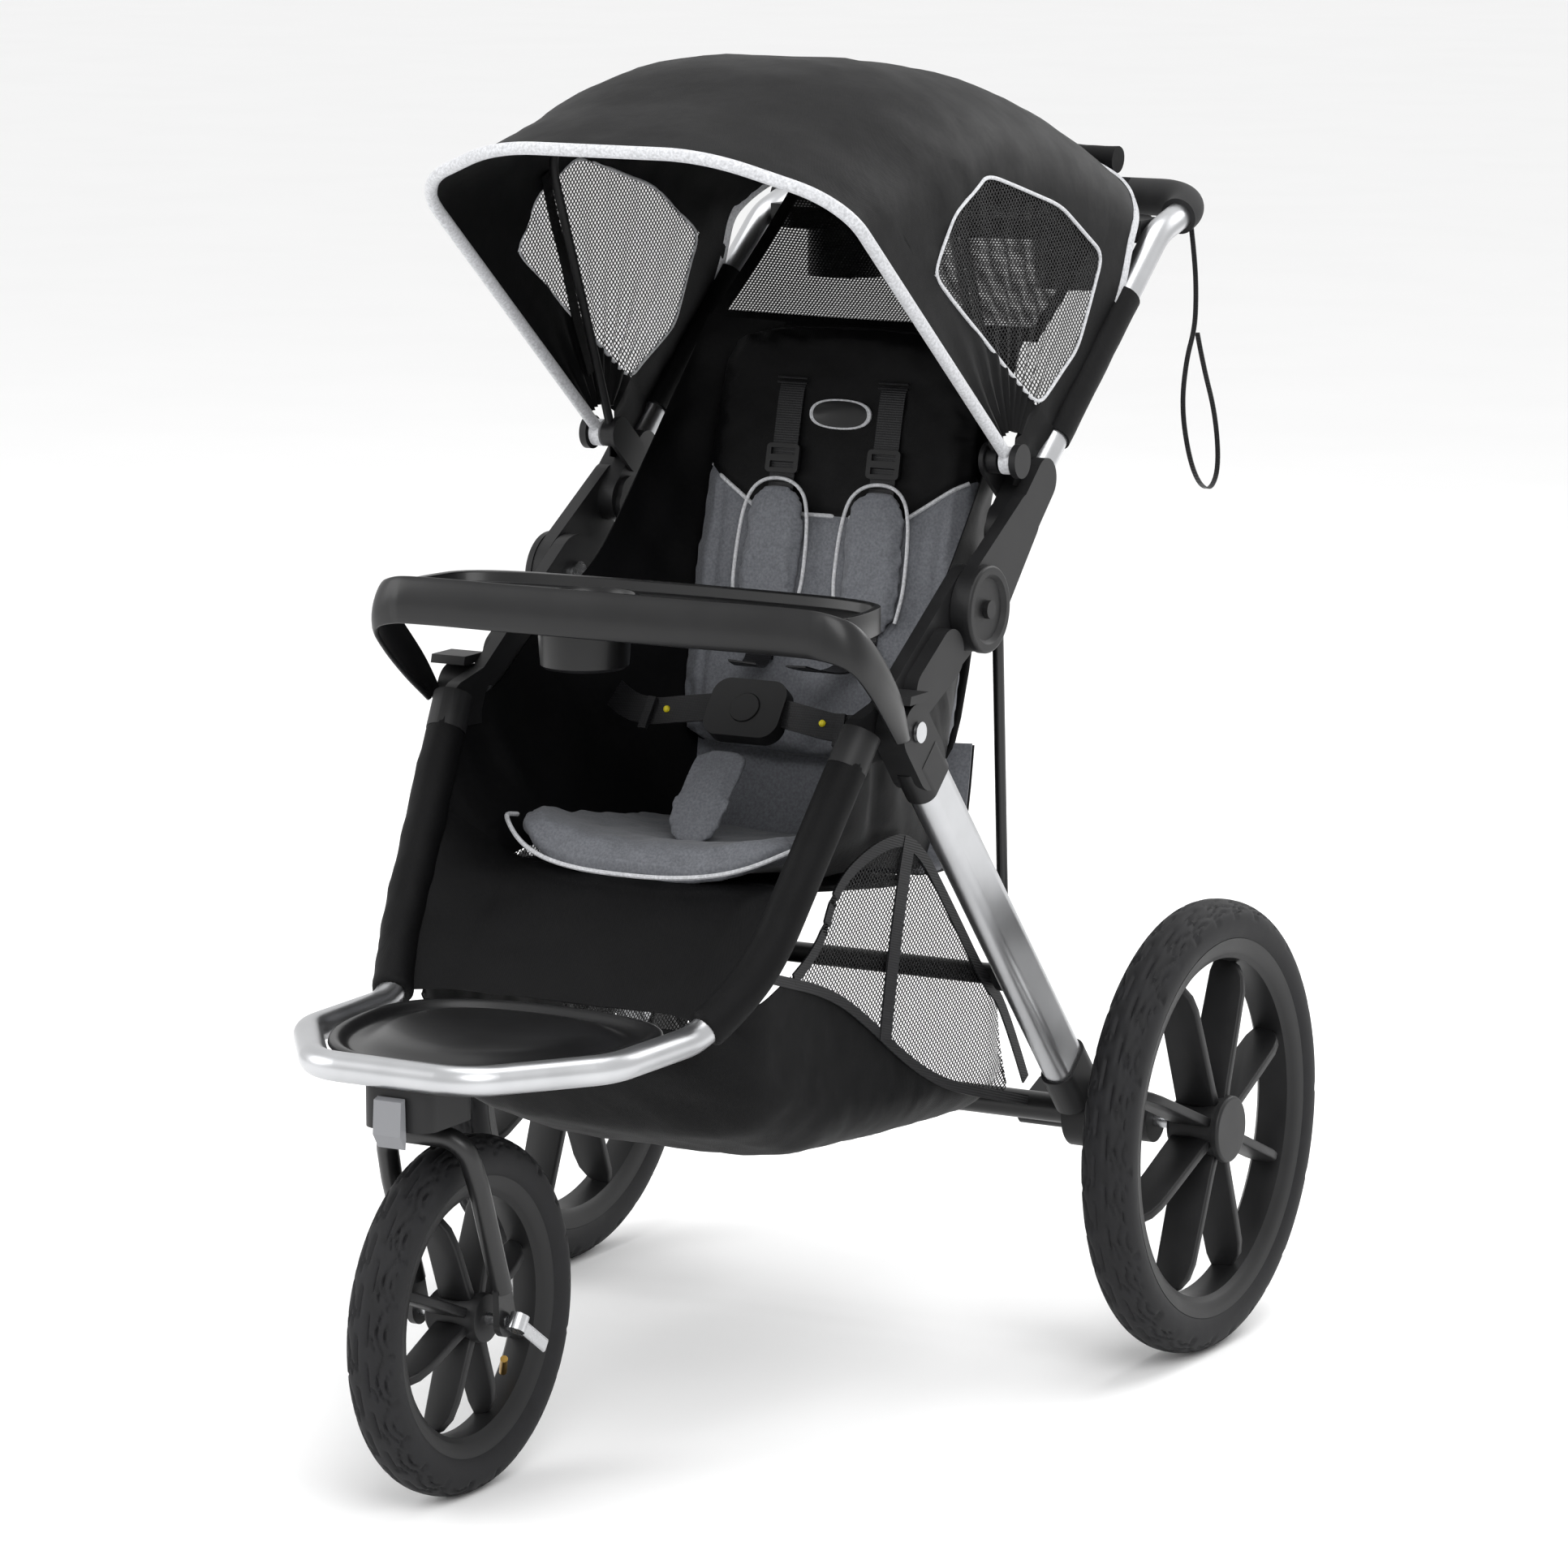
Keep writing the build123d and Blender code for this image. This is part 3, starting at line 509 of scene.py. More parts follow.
def route_along(name, points, closed=False):
    """The places in metres that a smooth spline through the points, in millimetres, follows."""
    curve = bpy.data.curves.new(name, "CURVE")
    curve.dimensions = "3D"
    spline = curve.splines.new("NURBS")
    spline.points.add(len(points) - 1)
    for point, place in zip(spline.points, points):
        point.co = (*(Vector(place) * MM), 1)
    spline.order_u = 3
    spline.use_endpoint_u = not closed
    spline.use_cyclic_u = closed
    curve.resolution_u = 6
    line = bpy.data.objects.new(name, curve)
    bpy.context.scene.collection.objects.link(line)
    bpy.context.view_layer.update()
    route = bpy.data.meshes.new_from_object(line)
    path = [v.co.copy() for v in route.vertices]
    bpy.data.objects.remove(line)
    bpy.data.meshes.remove(route)
    return path


def tube_along(name, points, radius=None, sides=10, closed=False, flat=None):
    """A smooth tube in millimetres along points, or a ribbon with flat=(width, thickness, wide direction)."""
    path = route_along(name, points, closed)
    if flat:
        ring = [(-0.5, -0.5), (0.5, -0.5), (0.5, 0.5), (-0.5, 0.5)]
        ring = [(x * flat[0] * MM, y * flat[1] * MM) for x, y in ring]
    else:
        turns = [2 * math.pi * k / sides for k in range(sides)]
        ring = [(radius * MM * math.cos(t), radius * MM * math.sin(t)) for t in turns]
    points_out = []
    wide = Vector(flat[2]) if flat else None
    across = None
    for i, place in enumerate(path):
        before = path[i - 1] if i or closed else path[i]
        after = path[(i + 1) % len(path)] if i + 1 < len(path) or closed else path[i]
        ahead = (after - before).normalized()
        if flat:
            first = (wide - ahead * wide.dot(ahead)).normalized()
        elif across is None:
            first = ahead.orthogonal().normalized()
        else:
            first = (across - ahead * across.dot(ahead)).normalized()
        across = first
        second = ahead.cross(first)
        points_out += [(place + first * x + second * y) / MM for x, y in ring]
    count = len(ring)
    faces = []
    steps = len(path) if closed else len(path) - 1
    for i in range(steps):
        base, top = i * count, ((i + 1) % len(path)) * count
        for k in range(count):
            faces.append((base + k, base + (k + 1) % count, top + (k + 1) % count, top + k))
    if not closed:
        faces.append(tuple(reversed(range(count))))
        faces.append(tuple((len(path) - 1) * count + k for k in range(count)))
    piece = mesh_piece(name, points_out, faces)
    outward(piece, MERGE)
    smooth(piece, 40)
    return piece


def join(name, pieces):
    """Several pieces as one mesh."""
    activate(pieces[0])
    for piece in pieces:
        piece.select_set(True)
    bpy.ops.object.join()
    pieces[0].name = name
    pieces[0].data.name = name
    return pieces[0]


def between(low, high, value):
    """Where value lies between low and high, eased, from 0 to 1."""
    share = min(1.0, max(0.0, (value - low) / (high - low)))
    return share * share * (3 - 2 * share)


def interpolate(pairs, value):
    """Straight runs through (value, result) pairs."""
    pairs = sorted(pairs)
    if value <= pairs[0][0]:
        return pairs[0][1]
    for (a, low), (b, high) in zip(pairs, pairs[1:]):
        if value <= b:
            return low + (high - low) * (value - a) / (b - a)
    return pairs[-1][1]


def crumple(place, size_mm, seed=0.0):
    """A repeatable lump from -1 to 1 at a place in millimetres."""
    return noise.noise(Vector(place) / size_mm + Vector((seed, seed * 1.7, seed * 0.3)))


# ------------------------------------------------------------------ stage and finishes

class STROLLER_OT_stage(bpy.types.Operator):
    """Add the floor, the soft lights and the camera"""
    bl_idname = "stroller.stage"
    bl_label = "Stage"

    def execute(self, context):
        deselect()
        bpy.ops.mesh.primitive_plane_add(size=60, location=(0, 0, 0))
        floor = context.object
        floor.name = "floor"
        floor.data.materials.append(material_for("floor"))

        world = context.scene.world or bpy.data.worlds.new("studio")
        context.scene.world = world
        world.use_nodes = True
        background = world.node_tree.nodes["Background"]
        background.inputs["Color"].default_value = (1, 1, 1, 1)
        background.inputs["Strength"].default_value = 0.95

        lamps = (
            ("key", (2.6, -3.4, 3.6), 3.2, 120),
            ("left_fill", (-3.8, -2.2, 2.2), 3.0, 62),
            ("top", (0.2, 0.4, 4.2), 3.4, 75),
            ("rear_rim", (1.2, 3.8, 2.6), 2.4, 55),
        )
        for name, place, size, power in lamps:
            data = bpy.data.lights.new(name, "AREA")
            data.energy = power
            data.shape = "DISK"
            data.size = size
            lamp = bpy.data.objects.new(name, data)
            lamp.location = place
            lamp.rotation_euler = (Vector((0, 0.1, 0.55)) - Vector(place)).to_track_quat("-Z", "Y").to_euler()
            context.scene.collection.objects.link(lamp)

        context.scene.view_settings.view_transform = "Standard"
        camera_data = bpy.data.cameras.new("camera")
        camera_data.lens = 147.35
        camera_data.sensor_width = 36
        camera_data.shift_x = -0.0088
        camera_data.shift_y = 0.0026
        camera_data.clip_end = 100
        camera = bpy.data.objects.new("camera", camera_data)
        camera.location = (2.7415, -4.7191, 1.5015)
        target = Vector((0, 0.156, 0.5))
        camera.rotation_euler = (target - camera.location).to_track_quat("-Z", "Y").to_euler()
        context.scene.collection.objects.link(camera)
        context.scene.camera = camera
        return {"FINISHED"}


class STROLLER_OT_finishes(bpy.types.Operator):
    """Give each rigid part of the frame its finish"""
    bl_idname = "stroller.finishes"
    bl_label = "Finishes"

    def execute(self, context):
        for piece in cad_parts.values():
            for material_slot in piece.material_slots:
                material_slot.material = material_for(material_slot.name.split(".")[0])
        return {"FINISHED"}


# ------------------------------------------------------------------ soft helpers

def back_place(x, up, out):
    """A place on the seat back: across, up its face and out of its board, in millimetres."""
    y = BACK_FOOT[0] + up * math.sin(BACK_LEAN) - out * math.cos(BACK_LEAN)
    z = BACK_FOOT[1] + up * math.cos(BACK_LEAN) + out * math.sin(BACK_LEAN)
    return (x, y, z)


def seat_place(x, rear, out):
    """A place on the seat: across, rearwards along it and out of its board, in millimetres."""
    y = SEAT_FRONT[0] + rear * math.cos(SEAT_TILT) + out * math.sin(SEAT_TILT)
    z = SEAT_FRONT[1] - rear * math.sin(SEAT_TILT) + out * math.cos(SEAT_TILT)
    return (x, y, z)


def smooth_line(points, steps):
    """A smooth line through points: steps places per run, ends included."""
    points = [Vector(p) for p in points]
    padded_points = [2 * points[0] - points[1], *points, 2 * points[-1] - points[-2]]
    line = []
    for a, b, c, d in zip(padded_points, padded_points[1:], padded_points[2:], padded_points[3:]):
        for k in range(steps):
            t = k / steps
            line.append(0.5 * (2 * b + (c - a) * t + (2 * a - 5 * b + 4 * c - d) * t * t
                               + (3 * b - a - 3 * c + d) * t ** 3))
    return [*line, points[-1]]


def smooth_pairs(pairs, steps):
    return [(p.x, p.y) for p in smooth_line([(*pair, 0) for pair in pairs], steps)]


def mirrored(points):
    """A closed outline in x and v from its right half, bottom to top."""
    return [*points, *[(-x, v) for x, v in reversed(points)]]


def rounded_outline(points, rounds=3):
    """An outline with its corners cut off several times over, which rounds them."""
    points = [Vector((*p, 0)) for p in points]
    for _ in range(rounds):
        cut = []
        for a, b in zip(points, points[1:] + points[:1]):
            cut += [a.lerp(b, 0.25), a.lerp(b, 0.75)]
        points = cut
    return [(p.x, p.y) for p in points]


def slab(name, outline, place, low, high):
    """A closed slab from an outline, between two heights over a surface."""
    count = len(outline)
    points = [place(x, v, low) for x, v in outline] + [place(x, v, high) for x, v in outline]
    faces = [tuple(reversed(range(count))), tuple(range(count, 2 * count))]
    for k in range(count):
        after = (k + 1) % count
        faces.append((k, after, after + count, k + count))
    piece = mesh_piece(name, points, faces)
    outward(piece)
    return piece


def inflate(piece, cap, base=None, voxel=0.005):
    """Fill a slab: remesh it, blow it up as cloth, and let nothing go below its base plane."""
    add_modifier(piece, "REMESH", mode="VOXEL", voxel_size=voxel)
    start = [v.co.copy() for v in piece.data.vertices]
    activate(piece)
    cloth = piece.modifiers.new("Fill", "CLOTH")
    cloth.settings.quality = 5
    cloth.settings.mass = 0.3
    cloth.settings.use_pressure = True
    cloth.settings.uniform_pressure_force = sizes().pad_pressure
    cloth.settings.effector_weights.gravity = 0
    cloth.collision_settings.use_collision = False
    scene = bpy.context.scene
    for frame_number in range(1, 21):
        scene.frame_set(frame_number)
    filled = piece.evaluated_get(bpy.context.evaluated_depsgraph_get())
    ends = [v.co.copy() for v in filled.data.vertices]
    piece.modifiers.remove(cloth)
    scene.frame_set(1)
    for vertex, first, last in zip(piece.data.vertices, start, ends):
        move = last - first
        if move.length > cap:
            move *= cap / move.length
        vertex.co = first + move
    if base:
        origin, normal = (Vector(v) for v in base)
        origin = origin * MM
        for vertex in piece.data.vertices:
            depth = (vertex.co - origin).dot(normal)
            if depth < 0:
                vertex.co -= normal * depth
    subdivide(piece)
    smooth(piece, 80)


def shift_points(piece, move):
    """Move each point by what move(place in mm) gives, in mm."""
    for vertex in piece.data.vertices:
        vertex.co += Vector(move(vertex.co / MM)) * MM
    piece.data.update()


def cut_planes(piece, planes, near):
    """Cut a mesh along planes, each a point in mm and a normal; near(centre in mm) picks the faces."""
    with editing(piece.data) as work:
        for point, normal in planes:
            faces = [f for f in work.faces if near(f.calc_center_median() / MM)]
            geometry = set(faces)
            for face in faces:
                geometry.update(face.edges)
                geometry.update(face.verts)
            bmesh.ops.bisect_plane(
                work, geom=list(geometry), plane_co=Vector(point) * MM, plane_no=Vector(normal), dist=MERGE)


def split_off(piece, name, chosen):
    """Move the faces whose centre in mm passes the test to a new piece."""
    taken = piece.copy()
    taken.data = piece.data.copy()
    taken.name = name
    taken.data.name = name
    bpy.context.scene.collection.objects.link(taken)
    for part, wanted in ((piece, False), (taken, True)):
        with editing(part.data) as work:
            extra = [f for f in work.faces if bool(chosen(f.calc_center_median() / MM)) != wanted]
            bmesh.ops.delete(work, geom=extra, context="FACES")
    return taken


def cast_on(piece, start, direction):
    """Where a ray in mm meets a piece, in mm, or None."""
    hit, place, _, _ = piece.ray_cast(Vector(start) * MM, Vector(direction).normalized())
    return place / MM if hit else None


# ------------------------------------------------------------------ canopy

PIVOT = (162, 804)
CANOPY_HALF = 205
CANOPY_FOOT = 26
RIBS = ((140.5, 441), (126.5, 391), (112, 363), (101, 350), (90, 341), (76, 341), (62, 351), (49, 371), (37, 402))
HEM_ANGLES = ((26, -62), (60, -22), (88, -2), (128, 14), (165, 24), (228, 28), (290, 37), (402, 37))
WINDOW = ((22, 976), (58, 1024), (124, 1053), (256, 1017), (338, 968), (292, 888), (214, 846), (112, 914))
WINDOW_SIDES = tuple(zip(WINDOW, WINDOW[1:] + WINDOW[:1]))


def arch(reach):
    """Half a rib, from its foot up its side to the crown: (x, distance from the pivot)."""
    side_top = reach - 118
    half = [(CANOPY_HALF, CANOPY_FOOT + (side_top - CANOPY_FOOT) * k / 12) for k in range(13)]
    bends = (
        ((CANOPY_HALF, side_top), (CANOPY_HALF, reach - 60), (152, reach - 30)),
        ((152, reach - 30), (100, reach), (36, reach)),
    )
    for a, b, c in bends:
        a, b, c = Vector(a), Vector(b), Vector(c)
        for k in range(1, 9):
            t = k / 8
            point = a * (1 - t) ** 2 + b * 2 * t * (1 - t) + c * t * t
            half.append((point.x, point.y))
    return [*half, (18, reach), (0, reach)]


def canopy_rows(steps=5):
    """Rows of places across the canopy, from the brim to the rear hem."""
    ribs = []
    for index, (angle, reach) in enumerate(RIBS):
        last = index == len(RIBS) - 1
        row = []
        for x, out in arch(reach):
            turn = interpolate(HEM_ANGLES, out) if last else angle
            if index == len(RIBS) - 2:
                turn = angle - max(0, 8 * (1 - out / 250))
            turn = math.radians(turn)
            row.append((x, PIVOT[0] + out * math.cos(turn), PIVOT[1] + out * math.sin(turn)))
        ribs.append([*row, *[(-x, y, z) for x, y, z in reversed(row[:-1])]])
    columns = [smooth_line(column, steps) for column in zip(*ribs)]
    return [list(row) for row in zip(*columns)]


def window_test(centre):
    """True where a place on a canopy side lies in its window."""
    y, z = centre[1], centre[2]
    inside = abs(centre[0]) > 120
    for (y1, z1), (y2, z2) in WINDOW_SIDES:
        inside = inside and (y2 - y1) * (z - z1) - (z2 - z1) * (y - y1) < 0
    return inside


class STROLLER_OT_canopy(bpy.types.Operator):
    """Build the canopy: one fan-shaped sheet with a mesh window in each side, piping and a rear hem"""
    bl_idname = "stroller.canopy"
    bl_label = "Canopy"

    def execute(self, context):
        rows = canopy_rows()
        shell = sheet_piece("canopy_shell", rows)

        def drape(place):
            x, y, z = place
            out = math.hypot(y - PIVOT[0], z - PIVOT[1])
            turn = math.degrees(math.atan2(z - PIVOT[1], y - PIVOT[0]))
            # the cloth gathers towards the pivots and hangs a little between the bows
            gather = 3.2 * math.exp(-(out - CANOPY_FOOT) / 80) * math.sin(turn * 0.55)
            pucker = 1.6 * crumple((x, y, z), 42, 3) + 0.8 * crumple((x, y, z), 17, 5)
            hang = -5 * math.sin(math.pi * between(112, 139, turn)) if turn > 112 else 0
            hang += -4 * math.sin(math.pi * between(40, 108, turn)) * between(150, 0, abs(x))
            edge = between(141, 134, turn)
            radial = Vector((0, y - PIVOT[0], z - PIVOT[1])).normalized()
            side = Vector((math.copysign(1, x), 0, 0)) * (gather + pucker) * between(120, 200, abs(x))
            return (side + radial * (hang + pucker) * between(330, 240, abs(x) + 150 * (out < 240))) * edge

        planes = []
        for (y1, z1), (y2, z2) in WINDOW_SIDES:
            planes.append(((0, y1, z1), (0, z2 - z1, y1 - y2)))
        cut_planes(shell, planes, lambda c: abs(c[0]) > 120)
        shift_points(shell, drape)
        borders = []
        for side in SIDES:
            border = []
            for start, end in WINDOW_SIDES:
                for share in (0, 0.34, 0.67):
                    y = start[0] + (end[0] - start[0]) * share
                    z = start[1] + (end[1] - start[1]) * share
                    hit = cast_on(shell, (side * 300, y, z), (-side, 0, 0))
                    if hit:
                        border.append((hit.x + side * 0.8, hit.y, hit.z))
            borders.append(border)
        bow_bands = []
        for side in SIDES:
            turn = math.radians(112)
            line = []
            for out in range(60, 262, 14):
                y, z = PIVOT[0] + out * math.cos(turn), PIVOT[1] + out * math.sin(turn)
                hit = cast_on(shell, (side * 300, y, z), (-side, 0, 0))
                if hit:
                    line.append((hit.x - side * 1.2, hit.y, hit.z))
            band = tube_along("band", line, flat=(13, 1.2, (0, -math.sin(turn), math.cos(turn))))
            bow_bands.append(band)
        windows = split_off(shell, "canopy_windows", window_test)
        for piece, thickness in ((shell, sizes().fabric_thickness), (windows, 0.0006)):
            thicken(piece, thickness)
            smooth(piece, 50)
        dress(shell, "black_fabric")
        dress(windows, "mesh_fabric")
        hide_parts("canopy_front_panel", "canopy_mid_panel", "canopy_rear_panel")

        piping = []
        for border in borders:
            cord_piece = tube_along("piping", border, 1.7, 8, closed=True)
            piping.append(cord_piece)
        piping = dress(join("canopy_piping", piping), "binding")
        bands_piece = dress(join("canopy_bow_bands", bow_bands), "black_fabric")

        hem_row = rows[-1]
        hems = []
        for part in (hem_row[1:22], hem_row[-22:-1]):
            side = math.copysign(1, part[5][0])
            line = [(x + side * 0.4, y, z) for x, y, z in part]
            hem = tube_along("hem", line, flat=(2.6, 11, (1, 0, 0)))
            hems.append(hem)
        hem = dress(join("canopy_hem", hems), "binding")

        sleeves = []
        for side in SIDES:
            line = [(side * 203, 252, 813.5), (side * 203, 320, 870), (side * 203, 388, 925)]
            sleeve = tube_along("sleeve", line, 14.6, 24)
            shift_points(sleeve, lambda p: Vector((0, -0.6, 0.7)) * crumple(p, 20, 41))
            sleeves.append(sleeve)
        dress(join("handle_sleeves", sleeves), "black_fabric", "handle_frame")

        roll_line = [(x, 479 + 1.5 * crumple((x, 0, 0), 60), 1039 + 2 * crumple((x, 9, 0), 50))
                     for x in range(-150, 151, 25)]
        roll = tube_along("canopy_roll", roll_line, 12, 20)
        shift_points(roll, lambda p: Vector((0, 1, 1)) * 1.6 * crumple(p, 18, 8))
        dress(roll, "black_fabric", "handle_frame")

        for piece in (shell, windows, piping, bands_piece):
            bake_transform(piece)
        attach(hem, "handle_frame")

        # the mesh panel between the canopy and the seat back, with its cloth frame
        rows = []
        for k in range(13):
            t = k / 12
            sag = -9 * math.sin(math.pi * t)
            rows.append([(x, 286 + 182 * t - sag * 0.5, 893 + 131 * t + sag * (1 - (x / 175) ** 2))
                         for x in range(-168, 169, 12)])
        net = sheet_piece("rear_net", rows)
        frame_cloth = split_off(net, "rear_net_border", lambda c: abs(c[0]) > 150 or c[1] > 436 or c[1] < 300)
        for piece, slot_name in ((net, "rear_mesh"), (frame_cloth, "black_fabric")):
            flat_area = surface_area(piece)
            thicken(piece, 0.001)
            dress(piece, slot_name, "handle_frame")
            "mesh_fabric" if slot_name == "rear_mesh" else slot_name
        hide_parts("canopy_rear_mesh")
        return {"FINISHED"}


# ------------------------------------------------------------------ seat

SEAM_LOW, SEAM_HIGH = 236, 282


def cradle(x, y):
    """How much the seat's cloth rises towards its sides, most of all at the front."""
    return (30 - 16 * between(-140, 100, y)) * (abs(x) / 150) ** 2.6


def seam_height(x):
    """How far up the back the seam between its two colours lies."""
    return SEAM_LOW + (SEAM_HIGH - SEAM_LOW) * max(0, abs(x) - 72) / 70


class STROLLER_OT_seat(bpy.types.Operator):
    """Build the padded back and seat, with their seams, piping and blank badge"""
    bl_idname = "stroller.seat"
    bl_label = "Seat"

    def execute(self, context):
        half = [(128, 14), (143, 60), (146, 150), (144, 260), (140, 350), (128, 394), (96, 410), (40, 414)]
        outline = rounded_outline(mirrored(half), 2)
        back = slab("seat_back_lower", outline, back_place, 3, 20)
        normal = (0, -math.cos(BACK_LEAN), math.sin(BACK_LEAN))
        inflate(back, sizes().pad_cap, (back_place(0, 0, 0.5), normal))

        def channels(place):
            x, y, z = place
            up = (y - BACK_FOOT[0]) * math.sin(BACK_LEAN) + (z - BACK_FOOT[1]) * math.cos(BACK_LEAN)
            groove = 3.4 * math.exp(-((up - seam_height(x)) / 5) ** 2)
            side = 2.6 * math.exp(-((abs(x) - 112) / 5) ** 2) * (up < seam_height(x) - 6)
            lumps = 2.2 * crumple(place, 46, 1) + 1.1 * crumple(place, 19, 2)
            edge = between(150, 118, abs(x))
            out = Vector(normal)
            front = (Vector(place) - Vector(back_place(0, 0, 12))).dot(out) > 0
            return out * (lumps * edge - groove - side) * front

        shift_points(back, channels)
        slope = (SEAM_HIGH - SEAM_LOW) / 70
        up_axis = Vector((0, math.sin(BACK_LEAN), math.cos(BACK_LEAN)))
        cut_planes(back, [(back_place(0, SEAM_LOW, 0), up_axis)], lambda c: abs(c[0]) < 78)
        for side in SIDES:
            lean_normal = up_axis - Vector((side * slope, 0, 0))
            cut_planes(back, [(back_place(side * 72, SEAM_LOW, 0), lean_normal)],
                       lambda c, side=side: c[0] * side > 66)

        def above(centre):
            up = (Vector(centre) - Vector(back_place(0, 0, 0))).dot(up_axis)
            return up > seam_height(centre[0])

        upper = split_off(back, "seat_back_upper", above)
        dress(back, "grey_fabric", "seat_back")
        dress(upper, "black_fabric", "seat_back")
        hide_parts("seat_back_pad")

        seam = []
        for x in range(-142, 143, 8):
            start = back_place(x, seam_height(x), 80)
            hit = cast_on(back, start, (-normal[0], -normal[1], -normal[2])) or cast_on(
                upper, start, (-normal[0], -normal[1], -normal[2]))
            if hit:
                seam.append(hit + Vector(normal) * 0.8)
        piping = tube_along("seat_back_piping", seam, 2.0, 8)
        dress(piping, "binding", "seat_back")

        # the shell behind the pad
        shell = slab("seat_back_shell", rounded_outline(mirrored(
            [(120, 14), (140, 60), (141, 350), (118, 404), (40, 410)]), 2), back_place, -6.5, 0)
        add_modifier(shell, "BEVEL", width=0.003, segments=3)
        smooth(shell, 40)
        dress(shell, "black_fabric", "seat_back")
        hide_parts("seat_back_board")

        # the blank badge plate and its pale rim
        plate_points = rounded_outline([(-31, 313), (31, 313), (31, 340), (-31, 340)], 3)
        front = cast_on(upper, back_place(0, 326, 80), (-normal[0], -normal[1], -normal[2]))
        height = (front - Vector(back_place(0, 326, 0))).dot(Vector(normal))
        for name, grow, low, high, slot_name in (
                ("badge_rim", 1.0, -3, 3.0, "binding"), ("badge_plate", 0.88, -3, 3.8, "tray_plastic")):
            points = [(x * grow, 326 + (v - 326) * grow) for x, v in plate_points]
            badge = slab(name, points, back_place, height + low, height + high)
            add_modifier(badge, "BEVEL", width=0.0006, segments=2)
            smooth(badge, 40)
            dress(badge, slot_name, "seat_back")

        # seat cushion, which hangs over the front edge
        half = [(60, -34), (108, -24), (140, 0), (154, 40), (150, 160), (146, 250), (90, 262), (30, 262)]
        cushion = slab("seat_cushion", rounded_outline(mirrored(half), 2), seat_place, 8, 24)
        up = (0, math.sin(SEAT_TILT), math.cos(SEAT_TILT))
        inflate(cushion, sizes().pad_cap, (seat_place(0, 0, 6), up))

        def tufts(place):
            x, y, _ = place
            rear = (y - SEAT_FRONT[0]) * math.cos(SEAT_TILT)
            lumps = 2.4 * crumple(place, 44, 6) + 1.2 * crumple(place, 18, 7)
            hollow = 5 * math.exp(-(x / 26) ** 2 - ((rear - 70) / 16) ** 2)
            droop = -9 * between(10, -34, rear) + cradle(x, y)
            crown = (Vector(place) - Vector(seat_place(0, 0, 14))).dot(Vector(up)) > 0
            return Vector(up) * ((lumps - hollow) * crown + droop)

        shift_points(cushion, tufts)
        dress(cushion, "grey_fabric", "front_frame")
        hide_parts("seat_pad")
        front_edge = [(-152, 34), (-147, 8), (-114, -20), (-62, -37), (0, -41), (62, -37), (114, -20), (147, 8),
                      (152, 34)]
        line = []
        for x, rear in smooth_pairs(front_edge, 4):
            place = seat_place(x, rear, 14 - 9 * between(10, -34, rear))
            line.append((place[0], place[1], place[2] + cradle(x, place[1])))
        piping = tube_along("seat_front_piping", line, 2.1, 8)
        dress(piping, "binding", "front_frame")
        # the cloth that turns up from the seat behind the back's lower edge
        turn_up = smooth_line([(0, 96, 446), (0, 146, 444), (0, 172, 462), (0, 184, 500), (0, 192, 545)], 5)
        for name, behind, slot_name in (
                ("seat_turn_up", 0, "grey_fabric"), ("seat_turn_up_lining", 4, "black_fabric")):
            rows = []
            for place in turn_up:
                rows.append([(x, place.y + behind + 1.5 * crumple((x, place.y, place.z), 40, 17)
                              + 14 * (abs(x) / 148) ** 4, place.z - behind * 0.5) for x in range(-148, 149, 8)])
            crease = sheet_piece(name, rows)
            thicken(crease, 0.003)
            smooth(crease, 60)
            dress(crease, slot_name)
            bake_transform(crease)
        board = slab("seat_underside", rounded_outline(mirrored([(120, 4), (146, 20), (146, 240), (60, 250)]), 2),
                     seat_place, 0.5, 6)
        add_modifier(board, "BEVEL", width=0.002, segments=2)
        dress(board, "black_fabric", "front_frame")
        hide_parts("seat_base")
        return {"FINISHED"}


# ------------------------------------------------------------------ sides, calf panel and sleeves

TUBE_LINE = ((200, -98, 596), (186, -172, 489), (178, -214, 428), (163, -250, 393), (151, -272, 376))


